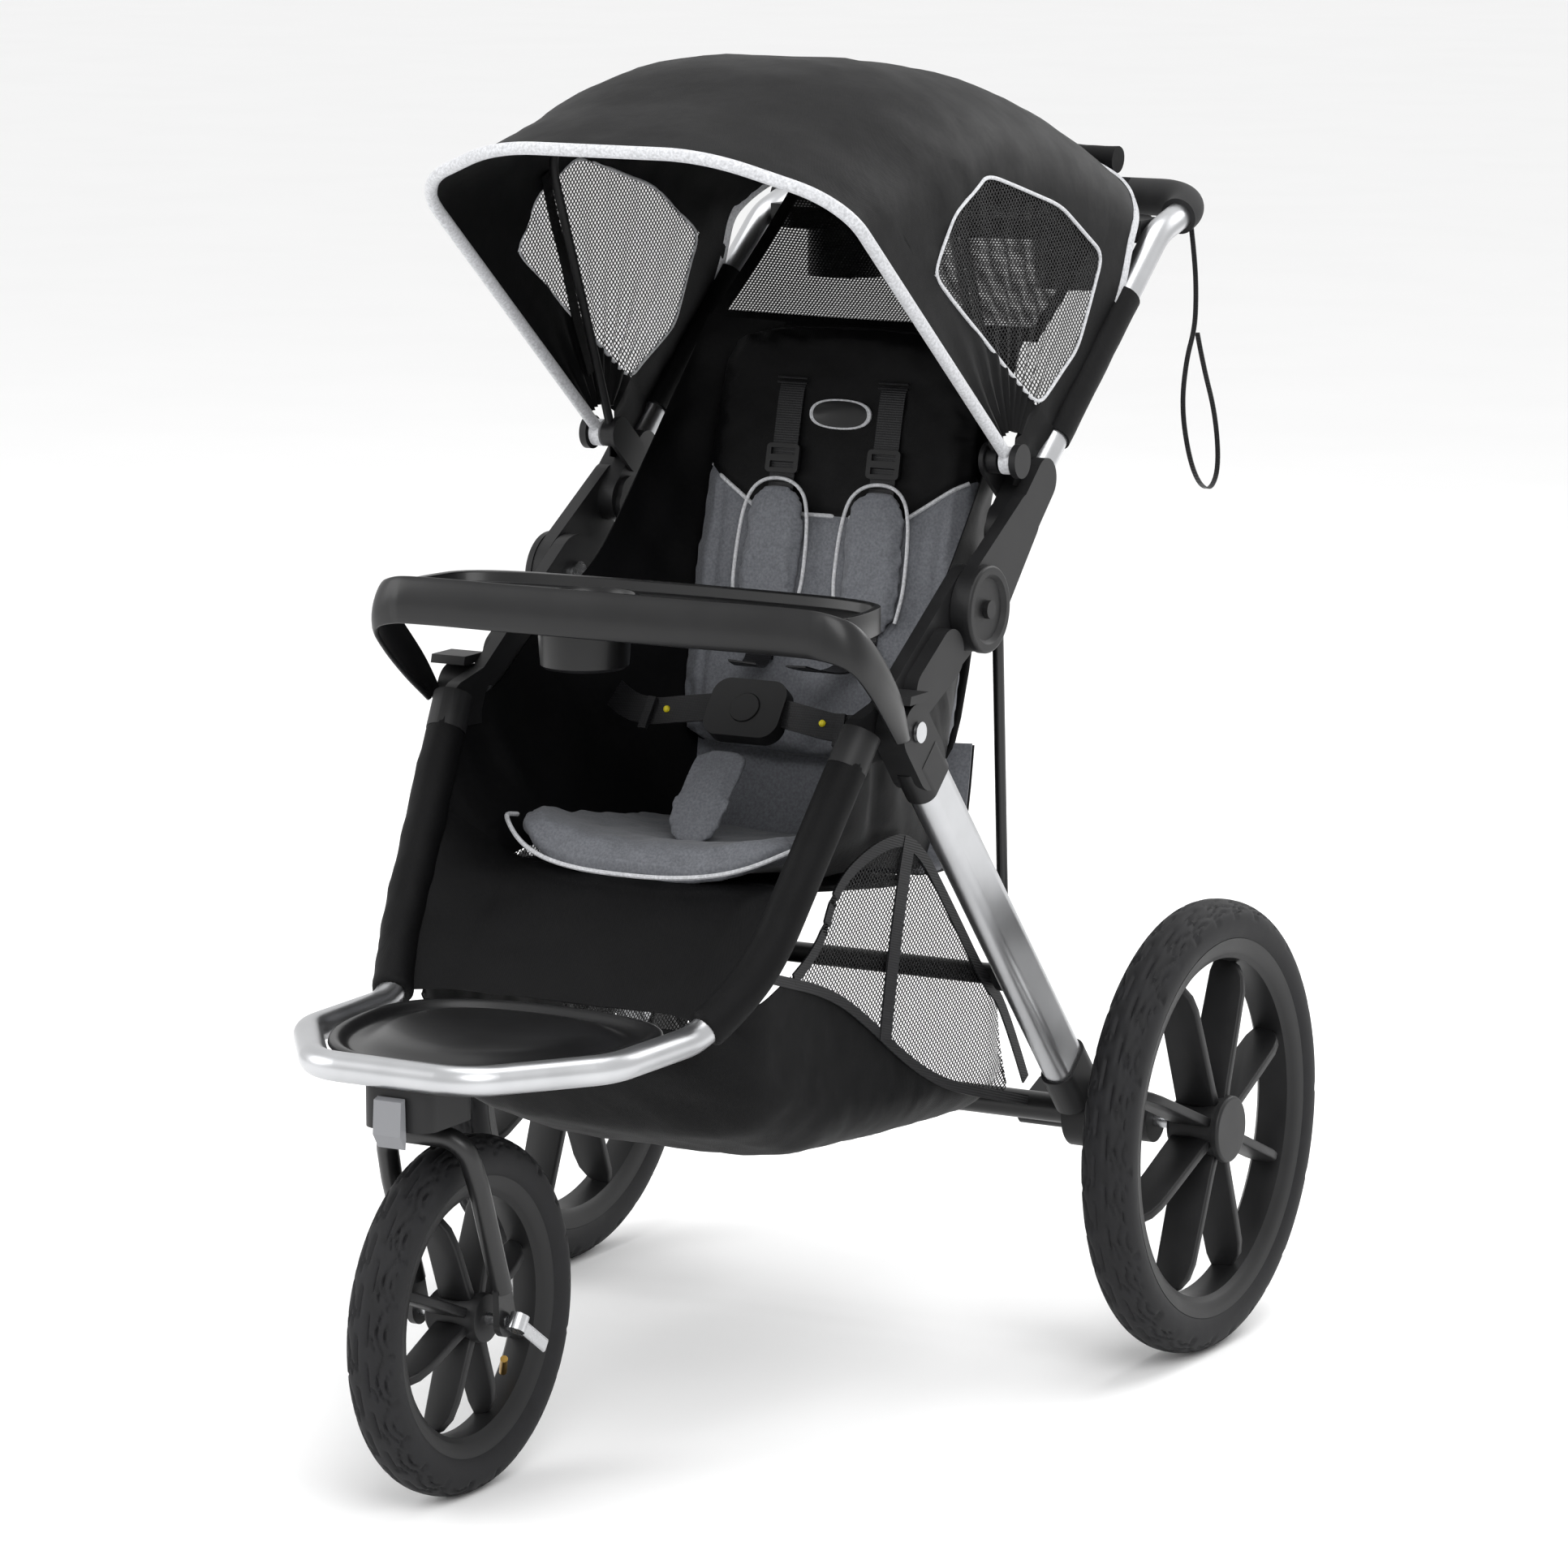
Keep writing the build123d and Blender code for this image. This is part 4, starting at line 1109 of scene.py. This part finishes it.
class STROLLER_OT_sides(bpy.types.Operator):
    """Build the gathered sides, the calf panel and the sleeves round the front tubes"""
    bl_idname = "stroller.sides"
    bl_label = "Sides and calf panel"

    def execute(self, context):
        low = [(138, -154, 460), (146, -60, 470), (146, 40, 462), (136, 130, 446), (124, 188, 497),
               back_place(128, 120, -6), back_place(137, 260, -6), back_place(128, 366, -6), back_place(84, 410, -6)]
        high = [(188, -172, 492), (199, -108, 588), (190, -46, 604), (188, 10, 640), (183, 50, 668),
                (174, 104, 704), (170, 170, 772), (166, 225, 836), (160, 278, 902)]
        for side, name in ((1, "side_panel_left"), (-1, "side_panel_right")):
            bottom = smooth_line(low, 10)
            top = smooth_line(high, 10)
            rows = []
            for k in range(19):
                t = k / 18
                row = []
                for s, (a, b) in enumerate(zip(bottom, top)):
                    place = a.lerp(b, t)
                    belly = math.sin(math.pi * t)
                    fold = math.sin(s * 0.62 + 2.2 * crumple((s * 9, t * 30, 0), 30)) * 2.6 * between(0, 0.5, t)
                    place.x += belly * 9 + (fold + 3.0 * crumple(place, 40, side)) * belly
                    row.append((side * place.x, place.y, place.z))
                rows.append(row)
            panel = sheet_piece(name, rows)
            thicken(panel, sizes().fabric_thickness)
            outward(panel)
            smooth(panel, 60)
            dress(panel, "black_fabric")
            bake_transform(panel)
            if side == 1:
                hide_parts("side_slings")

        centre = smooth_line([(0, -92, 464), (0, -112, 467), (0, -142, 463), (0, -168, 447), (0, -205, 416),
                              (0, -246, 382)], 6)
        edge = smooth_line([(186, -140, 512), (183, -164, 494), (180, -188, 466), (176, -212, 432), (166, -238, 404),
                            (152, -262, 380)], 6)
        rows = []
        for c, e in zip(centre, edge):
            row = []
            for k in range(-24, 25):
                share = abs(k) / 24
                lift = between(0.62, 1.0, share) ** 1.5
                place = Vector((math.copysign(e.x, k) * share, c.y + (e.y - c.y) * lift, c.z + (e.z - c.z) * lift))
                lumps = 2.0 * crumple(place, 60, 4) + 0.9 * crumple(place, 22, 9)
                seam = 1.6 * math.exp(-((abs(place.x) - 118) / 3) ** 2)
                place += Vector((0, -0.5, 0.86)) * (lumps * (1 - share ** 6) - seam)
                row.append(tuple(place))
            rows.append(row)
        calf = sheet_piece("calf_cloth", rows)
        subdivide(calf)
        thicken(calf, 0.0016)
        smooth(calf, 60)
        dress(calf, "black_fabric", "front_frame")
        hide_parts("calf_panel")

        sleeves = []
        for side in SIDES:
            line = [(side * x, y, z) for x, y, z in TUBE_LINE]
            sleeve = tube_along("sleeve", line, 17.4, 28)
            add_modifier(sleeve, "SUBSURF", levels=1, render_levels=1)

            def gather(place, side=side):
                lumps = 1.6 * crumple(place, 30, side) + 0.9 * crumple(place, 12, side + 5)
                return Vector((side * 0.6, -0.6, 0.5)) * lumps
            shift_points(sleeve, gather)
            sleeves.append(sleeve)
        sleeves = dress(join("leg_sleeve_cloth", sleeves), "black_fabric", "front_frame")
        smooth(sleeves, 60)
        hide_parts("leg_sleeves")
        return {"FINISHED"}


# ------------------------------------------------------------------ basket

BASKET_FLOOR = ((-240, 366), (-228, 330), (-172, 264), (-94, 231), (60, 217), (200, 208), (262, 206), (276, 214))
BASKET_RIM = ((-240, 374), (-190, 392), (-104, 420), (-76, 470), (-4, 492), (60, 490), (196, 332), (228, 316),
              (276, 226))
# where the basket's black cloth meets its mesh sides, as (y, z) in millimetres; past the ends the end heights hold
BASKET_CLOTH_TOP = ((-240, 392), (-192, 409), (-66, 366), (94, 268), (276, 212))


class STROLLER_OT_basket(bpy.types.Operator):
    """Build the basket: a sagging cloth tub with mesh sides"""
    bl_idname = "stroller.basket"
    bl_label = "Basket"

    def execute(self, context):
        rows = []
        steps = 44
        for k in range(steps + 1):
            y = -240 + 516 * k / steps
            floor = interpolate(BASKET_FLOOR, y)
            rim = max(interpolate(BASKET_RIM, y), floor + 3)
            half = 168 - 26 * between(-190, -245, y) - 20 * between(200, 276, y)
            tall = rim - floor
            corner = min(46, tall * 0.9)
            section = []
            for step in range(13):
                section.append((half - 2.5 * math.sin(math.pi * step / 12), rim - (tall - corner) * step / 12))
            for step in range(1, 9):
                turn = math.pi / 2 * step / 8
                section.append((half - corner * 1.3 * (1 - math.cos(turn)), floor + corner * (1 - math.sin(turn))))
            for step in range(1, 6):
                x = (half - corner * 1.3) * (1 - step / 5)
                section.append((x, floor - 5 * (1 - (x / half) ** 2) * between(-240, -150, y)))
            row = [(x, y, z) for x, z in section] + [(-x, y, z) for x, z in reversed(section[:-1])]
            rows.append(row)
        tub = sheet_piece("basket_cloth", rows)
        subdivide(tub)

        def sag(place):
            x, y, z = place
            lumps = 3.0 * crumple(place, 60, 12) + 1.3 * crumple(place, 24, 13)
            upper = between(interpolate(BASKET_CLOTH_TOP, y) + 10, interpolate(BASKET_CLOTH_TOP, y) - 30, z)
            side = between(110, 165, abs(x))
            inward = math.copysign(1, x) * side * -abs(lumps)
            return Vector((inward, 0, (1 - side) * abs(lumps) * 0.8)) * (0.35 + 0.65 * upper)

        for (y1, z1), (y2, z2) in zip(BASKET_CLOTH_TOP, BASKET_CLOTH_TOP[1:]):
            cut_planes(tub, [((0, y1, z1), (0, z2 - z1, y1 - y2))],
                       lambda c, y1=y1, y2=y2: y1 - 6 < c[1] < y2 + 6)
        shift_points(tub, sag)
        mesh_sides = split_off(
            tub, "basket_mesh", lambda c: c[2] > interpolate(BASKET_CLOTH_TOP, c[1]) and c[1] > -170)
        for piece, thickness, slot_name, flat in (
                (tub, sizes().fabric_thickness, "black_fabric", (0.78, 0.62)),
                (mesh_sides, 0.0006, "mesh_fabric", (0.5, 0.4))):
            area = surface_area(piece)
            thicken(piece, thickness)
            smooth(piece, 60)
            dress(piece, slot_name)
            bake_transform(piece)
        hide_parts("basket")

        trims = []
        for side in SIDES:
            rim = [(side * 168.5, y, z) for y, z in
                   ((-150, 400), (-104, 418), (-78, 468), (-6, 490), (60, 488), (128, 412), (196, 332), (226, 314),
                    (272, 232))]
            trims.append(tube_along("rim", rim, flat=(11, 1.8, (0, 0.62, 0.78))))
            seam = [(side * 168.5, y, z) for y, z in smooth_pairs(BASKET_CLOTH_TOP[1:], 3)]
            trims.append(tube_along("seam", seam, flat=(9, 1.6, (0, 0.62, 0.78))))
            strap = [(side * 169, 52, 488), (side * 169.5, 24, 410), (side * 169, 8, 318)]
            trims.append(tube_along("strap", strap, flat=(20, 1.6, (0, 1, 0))))
        trim = dress(join("basket_trim", trims), "webbing")
        smooth(trim, 40)
        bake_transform(trim)
        return {"FINISHED"}


# ------------------------------------------------------------------ harness

class STROLLER_OT_harness(bpy.types.Operator):
    """Build the harness: shoulder pads and straps, waist straps with their dots, and the crotch pad"""
    bl_idname = "stroller.harness"
    bl_label = "Harness"

    def execute(self, context):
        normal = Vector((0, -math.cos(BACK_LEAN), math.sin(BACK_LEAN)))
        pads = []
        pipes = []
        for side in SIDES:
            outline = rounded_outline([(18, 131), (84, 127), (85, 232), (70, 262), (34, 262), (17, 236)], 2)
            outline = [(side * x, v) for x, v in outline]
            pad = slab("pad", outline, back_place, 33, 38)
            inflate(pad, 0.005, (back_place(0, 0, 31.4), tuple(normal)), 0.004)
            shift_points(pad, lambda p: normal * (1.2 * crumple(p, 26, 21) + 0.6 * crumple(p, 11, 22)))
            pads.append(pad)
            middle = Vector((side * 51, 190))
            edge = [middle + (Vector(p) - middle) * 1.05 for p in outline if p[1] > 142]
            pipes.append(tube_along("pipe", [back_place(p.x, p.y, 37) for p in edge], 1.7, 8))
        pads = dress(join("shoulder_pad_covers", pads), "grey_fabric", "seat_back")
        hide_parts("shoulder_pads")
        dress(join("shoulder_pad_piping", pipes), "binding", "seat_back")

        straps = []
        for side in SIDES:
            line = [back_place(side * 51, v, out) for v, out in
                    ((358, 26), (350, 30.5), (320, 31), (290, 31.2), (262, 31.4), (200, 31.4), (130, 32), (104, 33))]
            straps.append(tube_along("strap", line, flat=(25, 1.6, (1, 0, 0))))
            for v in (352, 356.5):
                tack = [back_place(side * 51 + x, v, 31.6) for x in (-15, -5, 5, 15)]
                straps.append(tube_along("tack", tack, 1.0, 6))
            lower = [back_place(side * x, v, out) for x, v, out in
                     ((51, 128, 33), (48, 106, 40), (38, 92, 72), (27, 96, 108))]
            straps.append(tube_along("lower", lower, flat=(25, 1.6, (1, 0, 0))))
        straps = dress(join("shoulder_webbing", straps), "webbing", "seat_back")
        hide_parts("shoulder_straps")

        waist = []
        dots = []
        for side in SIDES:
            line = [(side * 34, 67, 583), (side * 62, 60, 580), (side * 96, 62, 574), (side * 126, 70, 578),
                    (side * 146, 86, 584)]
            waist.append(tube_along("waist", line, flat=(25, 1.8, (0, 0.5, 0.86))))
            keeper = [(side * 92, 57.6, 574), (side * 100, 58.4, 574.4)]
            waist.append(tube_along("keeper", keeper, flat=(30, 4, (0, 0.5, 0.86))))
            deselect()
            bpy.ops.mesh.primitive_uv_sphere_add(segments=16, ring_count=8, radius=0.0032,
                                                 location=(side * 0.078, 0.0605, 0.5785))
            dot = context.object
            bpy.ops.object.transform_apply(location=True, rotation=True, scale=True)
            dots.append(dot)
        waist = dress(join("waist_webbing", waist), "webbing", "front_frame")
        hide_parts("waist_straps")
        dots = join("waist_dots", dots)
        smooth(dots, 60)
        dots.data.materials.append(material_for("marker"))
        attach(dots, "front_frame")

        def crotch_place(x, along, out):
            run = Vector((0, 68, 71)).normalized()
            front = Vector((0, -71, 68)).normalized()
            bow = 6 * math.sin(math.pi * along / 98)
            return tuple(Vector((x, -38, 481)) + run * along + front * (out + bow))

        outline = rounded_outline([(-29, 0), (29, 0), (27, 92), (16, 98), (-16, 98), (-27, 92)], 2)
        pad = slab("crotch_pad_cover", outline, crotch_place, -3, 3)
        inflate(pad, 0.006, None, 0.004)
        shift_points(pad, lambda p: Vector((0, -0.7, 0.7)) * (1.6 * crumple(p, 24, 31)))
        dress(pad, "grey_fabric", "front_frame")
        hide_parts("crotch_pad")
        return {"FINISHED"}


# ------------------------------------------------------------------ tyres

class STROLLER_OT_tyres(bpy.types.Operator):
    """Build the three tyres with scalloped shoulders and a dashed crown"""
    bl_idname = "stroller.tyres"
    bl_label = "Tyres"

    def execute(self, context):
        for wheel, (centre, outer, width, rim, *_) in WHEELS.items():
            tall = outer - rim + 2
            middle = outer - tall / 2
            deselect()
            bpy.ops.mesh.primitive_torus_add(
                major_radius=middle * MM, minor_radius=tall / 2 * MM, major_segments=660, minor_segments=72,
                rotation=(0, math.pi / 2, 0))
            tyre = context.object
            tyre.name = tyre.data.name = f"{wheel}_tread"
            bpy.ops.object.transform_apply(location=True, rotation=True, scale=True)
            pitch = 2 * math.pi / round(2 * math.pi * outer / TREAD_PITCH)
            for vertex in tyre.data.vertices:
                x, y, z = vertex.co / MM
                ring = math.atan2(z, y)
                out = math.hypot(y, z) - middle
                turn = math.atan2(x, out)
                # a squarer, fuller section than a circle
                across = width / 2 * math.copysign(abs(math.sin(turn)) ** 0.86, math.sin(turn))
                rise = tall / 2 * math.copysign(abs(math.cos(turn)) ** 0.92, math.cos(turn))
                depth = tread(ring / pitch, math.degrees(turn)) * sizes().tread_depth / MM
                radius = middle + rise - depth * math.cos(turn)
                across -= depth * math.sin(turn)
                vertex.co = Vector((centre[0] + across, centre[1] + radius * math.cos(ring),
                                    centre[2] + radius * math.sin(ring))) * MM
            outward(tyre)
            smooth(tyre, 50)
            dress(tyre, "tyre_rubber", f"{wheel}_wheel")
            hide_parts(f"{wheel}_tyre")
        return {"FINISHED"}


def groove(distance, width):
    """How deep a groove is, from 0 to 1, at a distance from its middle."""
    return between(width, width * 0.45, abs(distance))


def tread(turns, lean):
    """Depth of the tread's grooves, from 0 to 1: turns counts pitches round the tyre, lean is degrees
    from its crown."""
    side = 1 if lean > 0 else -1
    lean = abs(lean)
    if lean > 84:
        return 0.0
    share = (turns + 0.25 * (1 - side)) % 1
    # a row of arches on each shoulder, with a smaller arch inside each, and a short leg between them
    outer = 31 + 34 * (1 - math.sqrt(max(0, 1 - (2 * share - 1) ** 2)))
    depth = groove(lean - outer, 3.6)
    inside = (share - 0.58) / 0.24
    if abs(inside) < 1:
        depth = max(depth, groove(lean - (50 + 16 * (1 - math.sqrt(1 - inside ** 2))), 3.2))
    depth = max(depth, groove(min(share, 1 - share), 0.05) * between(58, 62, lean) * between(80, 74, lean))
    # dashes beside the crown, and small slanted nicks
    half = (share * 2) % 1
    depth = max(depth, groove(lean - 11, 3.4) * between(0.1, 0.18, share) * between(0.82, 0.74, share))
    nick = (half - 0.5) * 18 - (lean - 22)
    return max(depth, groove(nick, 3.4) * between(17, 19, lean) * between(28, 26, lean) * (share > 0.5))


# ------------------------------------------------------------------ wrist strap

STRAP_ROUTE = (
    (0.2035, 0.521, 0.978), (0.205, 0.527, 0.945), (0.2055, 0.529, 0.912), (0.205, 0.5275, 0.884),
    (0.2045, 0.512, 0.858), (0.204, 0.504, 0.816), (0.205, 0.517, 0.770), (0.206, 0.537, 0.741),
    (0.2065, 0.562, 0.732), (0.206, 0.580, 0.752), (0.2055, 0.572, 0.802), (0.205, 0.546, 0.849),
    (0.205, 0.533, 0.880),
)


class STROLLER_OT_wrist_strap(bpy.types.Operator):
    """Build the wrist strap that hangs from the handle bar, sewn back on itself as a loop"""
    bl_idname = "stroller.wrist_strap"
    bl_label = "Wrist strap"

    def execute(self, context):
        points = [Vector(p) / MM for p in STRAP_ROUTE]
        strap = tube_along("wrist_webbing", points, flat=(4.4, 1.4, (1, 0.12, 0)))
        dress(strap, "webbing", "handle_frame")
        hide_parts("wrist_strap")
        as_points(route_along("wrist_route", points))
        return {"FINISHED"}


# ------------------------------------------------------------------ child tray

class STROLLER_OT_child_tray(bpy.types.Operator):
    """Build the child tray: a tall front band that sweeps down into its arms, a dished top and a cup"""
    bl_idname = "stroller.child_tray"
    bl_label = "Child tray"

    def execute(self, context):
        top = [(231, -64, 597), (236, -88, 636), (238, -124, 675), (233, -156, 704), (212, -173, 716),
               (176, -177, 719), (90, -178, 719)]
        low = [(231, -87, 594), (236, -116, 618), (238, -146, 645), (233, -169, 666), (212, -178, 675),
               (176, -180, 677), (90, -181, 677)]
        rows = []
        for half_top, half_low in zip(smooth_line(top, 8), smooth_line(low, 8)):
            row = []
            for k in range(9):
                t = k / 8
                place = half_top.lerp(half_low, t)
                crown = 5 * math.sin(math.pi * t) ** 0.7
                away = Vector((place.x, place.y + 60, 0))
                away = away.normalized() if place.x > 205 else Vector((place.x / 900, -1, 0)).normalized()
                row.append(tuple(place + away * crown))
            rows.append(row)
        rows += [[(-x, y, z) for x, y, z in row] for row in reversed(rows)]
        band = sheet_piece("child_tray_band", rows)
        thicken(band, 0.005, 1.0)
        outward(band)
        add_modifier(band, "BEVEL", width=0.0018, segments=3)
        smooth(band, 45)

        outline = rounded_outline([(-216, -172), (216, -172), (222, -120), (206, -52), (60, -42), (-60, -42),
                                   (-206, -52), (-222, -120)], 3)
        body = slab("child_tray_top", outline, lambda x, y, z: (x, y, z), 686, 709)
        with editing(body.data) as work:
            for inset, drop in ((0.007, -0.0005), (0.002, -0.009)):
                lid = [f for f in work.faces if f.normal.z > 0.9 and f.calc_area() > 0.02]
                bmesh.ops.inset_region(work, faces=lid, thickness=inset)
                lid = [f for f in work.faces if f.normal.z > 0.9 and f.calc_area() > 0.02]
                bmesh.ops.translate(work, verts=list({v for f in lid for v in f.verts}), vec=(0, 0, drop))
        cutter = slab("cutter", ring_outline(-57, -112, 40.5), lambda x, y, z: (x, y, z), 660, 740)
        activate(body)
        hole = body.modifiers.new("Hole", "BOOLEAN")
        hole.object = cutter
        hole.solver = "EXACT"
        bpy.ops.object.modifier_apply(modifier="Hole")
        bpy.data.objects.remove(cutter)
        add_modifier(body, "BEVEL", width=0.0012, segments=2)
        smooth(body, 40)

        profile = [(0, 641), (34, 641), (38, 644), (41.5, 696), (47, 701), (47, 703.5), (43, 704), (40, 700),
                   (36.5, 648), (33, 646), (0, 646)]
        cup = turned_piece("cup", profile, (-57, -112))
        tray = join("child_tray_cover", [band, body, cup])
        dress(tray, "tray_plastic", "child_tray")
        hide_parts("child_tray")
        return {"FINISHED"}


def ring_outline(x, y, radius, count=64):
    turns = [2 * math.pi * k / count for k in range(count)]
    return [(x + radius * math.cos(t), y + radius * math.sin(t)) for t in turns]


def turned_piece(name, profile, centre, count=64):
    """A piece turned round an upright axis from a profile of (radius, height)."""
    rows = [[(centre[0] + r * math.cos(2 * math.pi * k / count), centre[1] + r * math.sin(2 * math.pi * k / count), z)
             for k in range(count)] for r, z in profile]
    piece = sheet_piece(name, rows, closed=True)
    outward(piece)
    smooth(piece, 35)
    return piece


# ------------------------------------------------------------------ rims and footrest

class STROLLER_OT_rims(bpy.types.Operator):
    """Build the moulded rims: a deep barrel, eight broad blades with rounded shoulders, and a hub"""
    bl_idname = "stroller.rims"
    bl_label = "Rims"

    def execute(self, context):
        for wheel, (centre, _, _, rim, half, deep, hub, hub_half, side) in WHEELS.items():
            def place(x, radius, out, turn):
                return (centre[0] + side * x,
                        centre[1] + radius * math.cos(turn) - out * math.sin(turn),
                        centre[2] + radius * math.sin(turn) + out * math.cos(turn))

            barrel = [(rim + 1, -half + 1), (rim + 6, -half), (rim + 6, -half + 3), (rim - 1, -half + 5),
                      (rim - 5, 0), (rim - 1, half - 5), (rim + 6, half - 3), (rim + 6, half), (rim + 1, half - 1),
                      (rim - 6, half - 3), (rim - 8, half - 5), (rim - 12, half - 8), (rim - 14, 0),
                      (rim - 12, -half + 6), (rim - 7, -half + 2), (rim + 1, -half + 1)]
            core = [(4, -hub_half), (hub - 6, -hub_half), (hub - 2, -hub_half + 4), (hub - 5, 0),
                    (hub, hub_half - 6), (hub - 1, hub_half - 1), (hub - 3, hub_half), (4, hub_half),
                    (4, -hub_half)]
            parts = []
            for profile, count in ((barrel, 128), (core, 64)):
                rows = [[place(x, r, 0, 2 * math.pi * k / count) for k in range(count)] for r, x in profile]
                parts.append(sheet_piece("ring", rows, closed=True))
                outward(parts[-1])
            outline = [(-deep, hub - 4), (deep + 2, hub - 4), (deep + 1, hub + 14), (deep, rim * 0.55),
                       (deep - 1, rim - 40), (deep - 4, rim - 26), (deep - 11, rim - 16), (deep - 19, rim - 11),
                       (-deep + 4, rim - 11), (-deep + 1, rim - 24)]
            for k in range(BLADES):
                turn = 2 * math.pi * (k + 0.5) / BLADES
                blade = slab("blade", outline, partial(place, turn=turn), -4.2, 4.2)
                add_modifier(blade, "BEVEL", width=0.0022, segments=3)
                parts.append(blade)
            spokes = join(f"{wheel}_spokes", parts)
            smooth(spokes, 38)
            dress(spokes, "wheel_plastic", f"{wheel}_wheel")
            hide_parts(f"{wheel}_rim")
        return {"FINISHED"}


class STROLLER_OT_footrest(bpy.types.Operator):
    """Build the footrest: a moulded tray with a raised rim and a domed tread"""
    bl_idname = "stroller.footrest"
    bl_label = "Footrest"

    def execute(self, context):
        edge = rounded_outline([(-134, -246), (-134, -404), (-64, -497), (64, -497), (134, -404), (134, -246)], 3)
        centre = Vector((0, -360))
        rows = []
        for share, height in ((1.0, 366), (1.0, 375), (0.985, 378.5), (0.95, 379), (0.91, 376), (0.88, 372.5),
                              (0.84, 371.5), (0.76, 374), (0.7, 378), (0.62, 381), (0.45, 383), (0.25, 384),
                              (0.08, 384.4)):
            rows.append([(x * share, centre.y + (y - centre.y) * share, height) for x, y in edge])
        top = sheet_piece("footrest_cover", rows, closed=True)
        with editing(top.data) as work:
            bmesh.ops.holes_fill(work, edges=[e for e in work.edges if e.is_boundary], sides=0)
        outward(top)
        add_modifier(top, "SUBSURF", levels=1, render_levels=1)
        smooth(top, 60)
        dress(top, "tray_plastic", "front_frame")
        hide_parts("footrest")
        return {"FINISHED"}


# ------------------------------------------------------------------ add-on

PIECES = [
    STROLLER_OT_stage,
    STROLLER_OT_finishes,
    STROLLER_OT_canopy,
    STROLLER_OT_seat,
    STROLLER_OT_sides,
    STROLLER_OT_basket,
    STROLLER_OT_harness,
    STROLLER_OT_tyres,
    STROLLER_OT_wrist_strap,
    STROLLER_OT_child_tray,
    STROLLER_OT_rims,
    STROLLER_OT_footrest,
]


class STROLLER_PT_pieces(bpy.types.Panel):
    """The stroller's pieces, in the order in which they are built"""
    bl_idname = "STROLLER_PT_pieces"
    bl_label = "Jogging Stroller"
    bl_space_type = "VIEW_3D"
    bl_region_type = "UI"
    bl_category = "Stroller"

    def draw(self, context):
        column = self.layout.column(align=True)
        for piece in PIECES:
            column.operator(piece.bl_idname)


CLASSES = [StrollerSizes, StrollerColours, *PIECES, STROLLER_PT_pieces]


def register():
    for cls in CLASSES:
        bpy.utils.register_class(cls)
    bpy.types.Scene.stroller_sizes = bpy.props.PointerProperty(type=StrollerSizes)
    bpy.types.Scene.stroller_colours = bpy.props.PointerProperty(type=StrollerColours)


def unregister():
    del bpy.types.Scene.stroller_colours
    del bpy.types.Scene.stroller_sizes
    for cls in reversed(CLASSES):
        bpy.utils.unregister_class(cls)


def main():
    register()
    for piece in PIECES:
        family, name = piece.bl_idname.split(".")
        getattr(getattr(bpy.ops, family), name)()


if __name__ == "__main__":
    main()
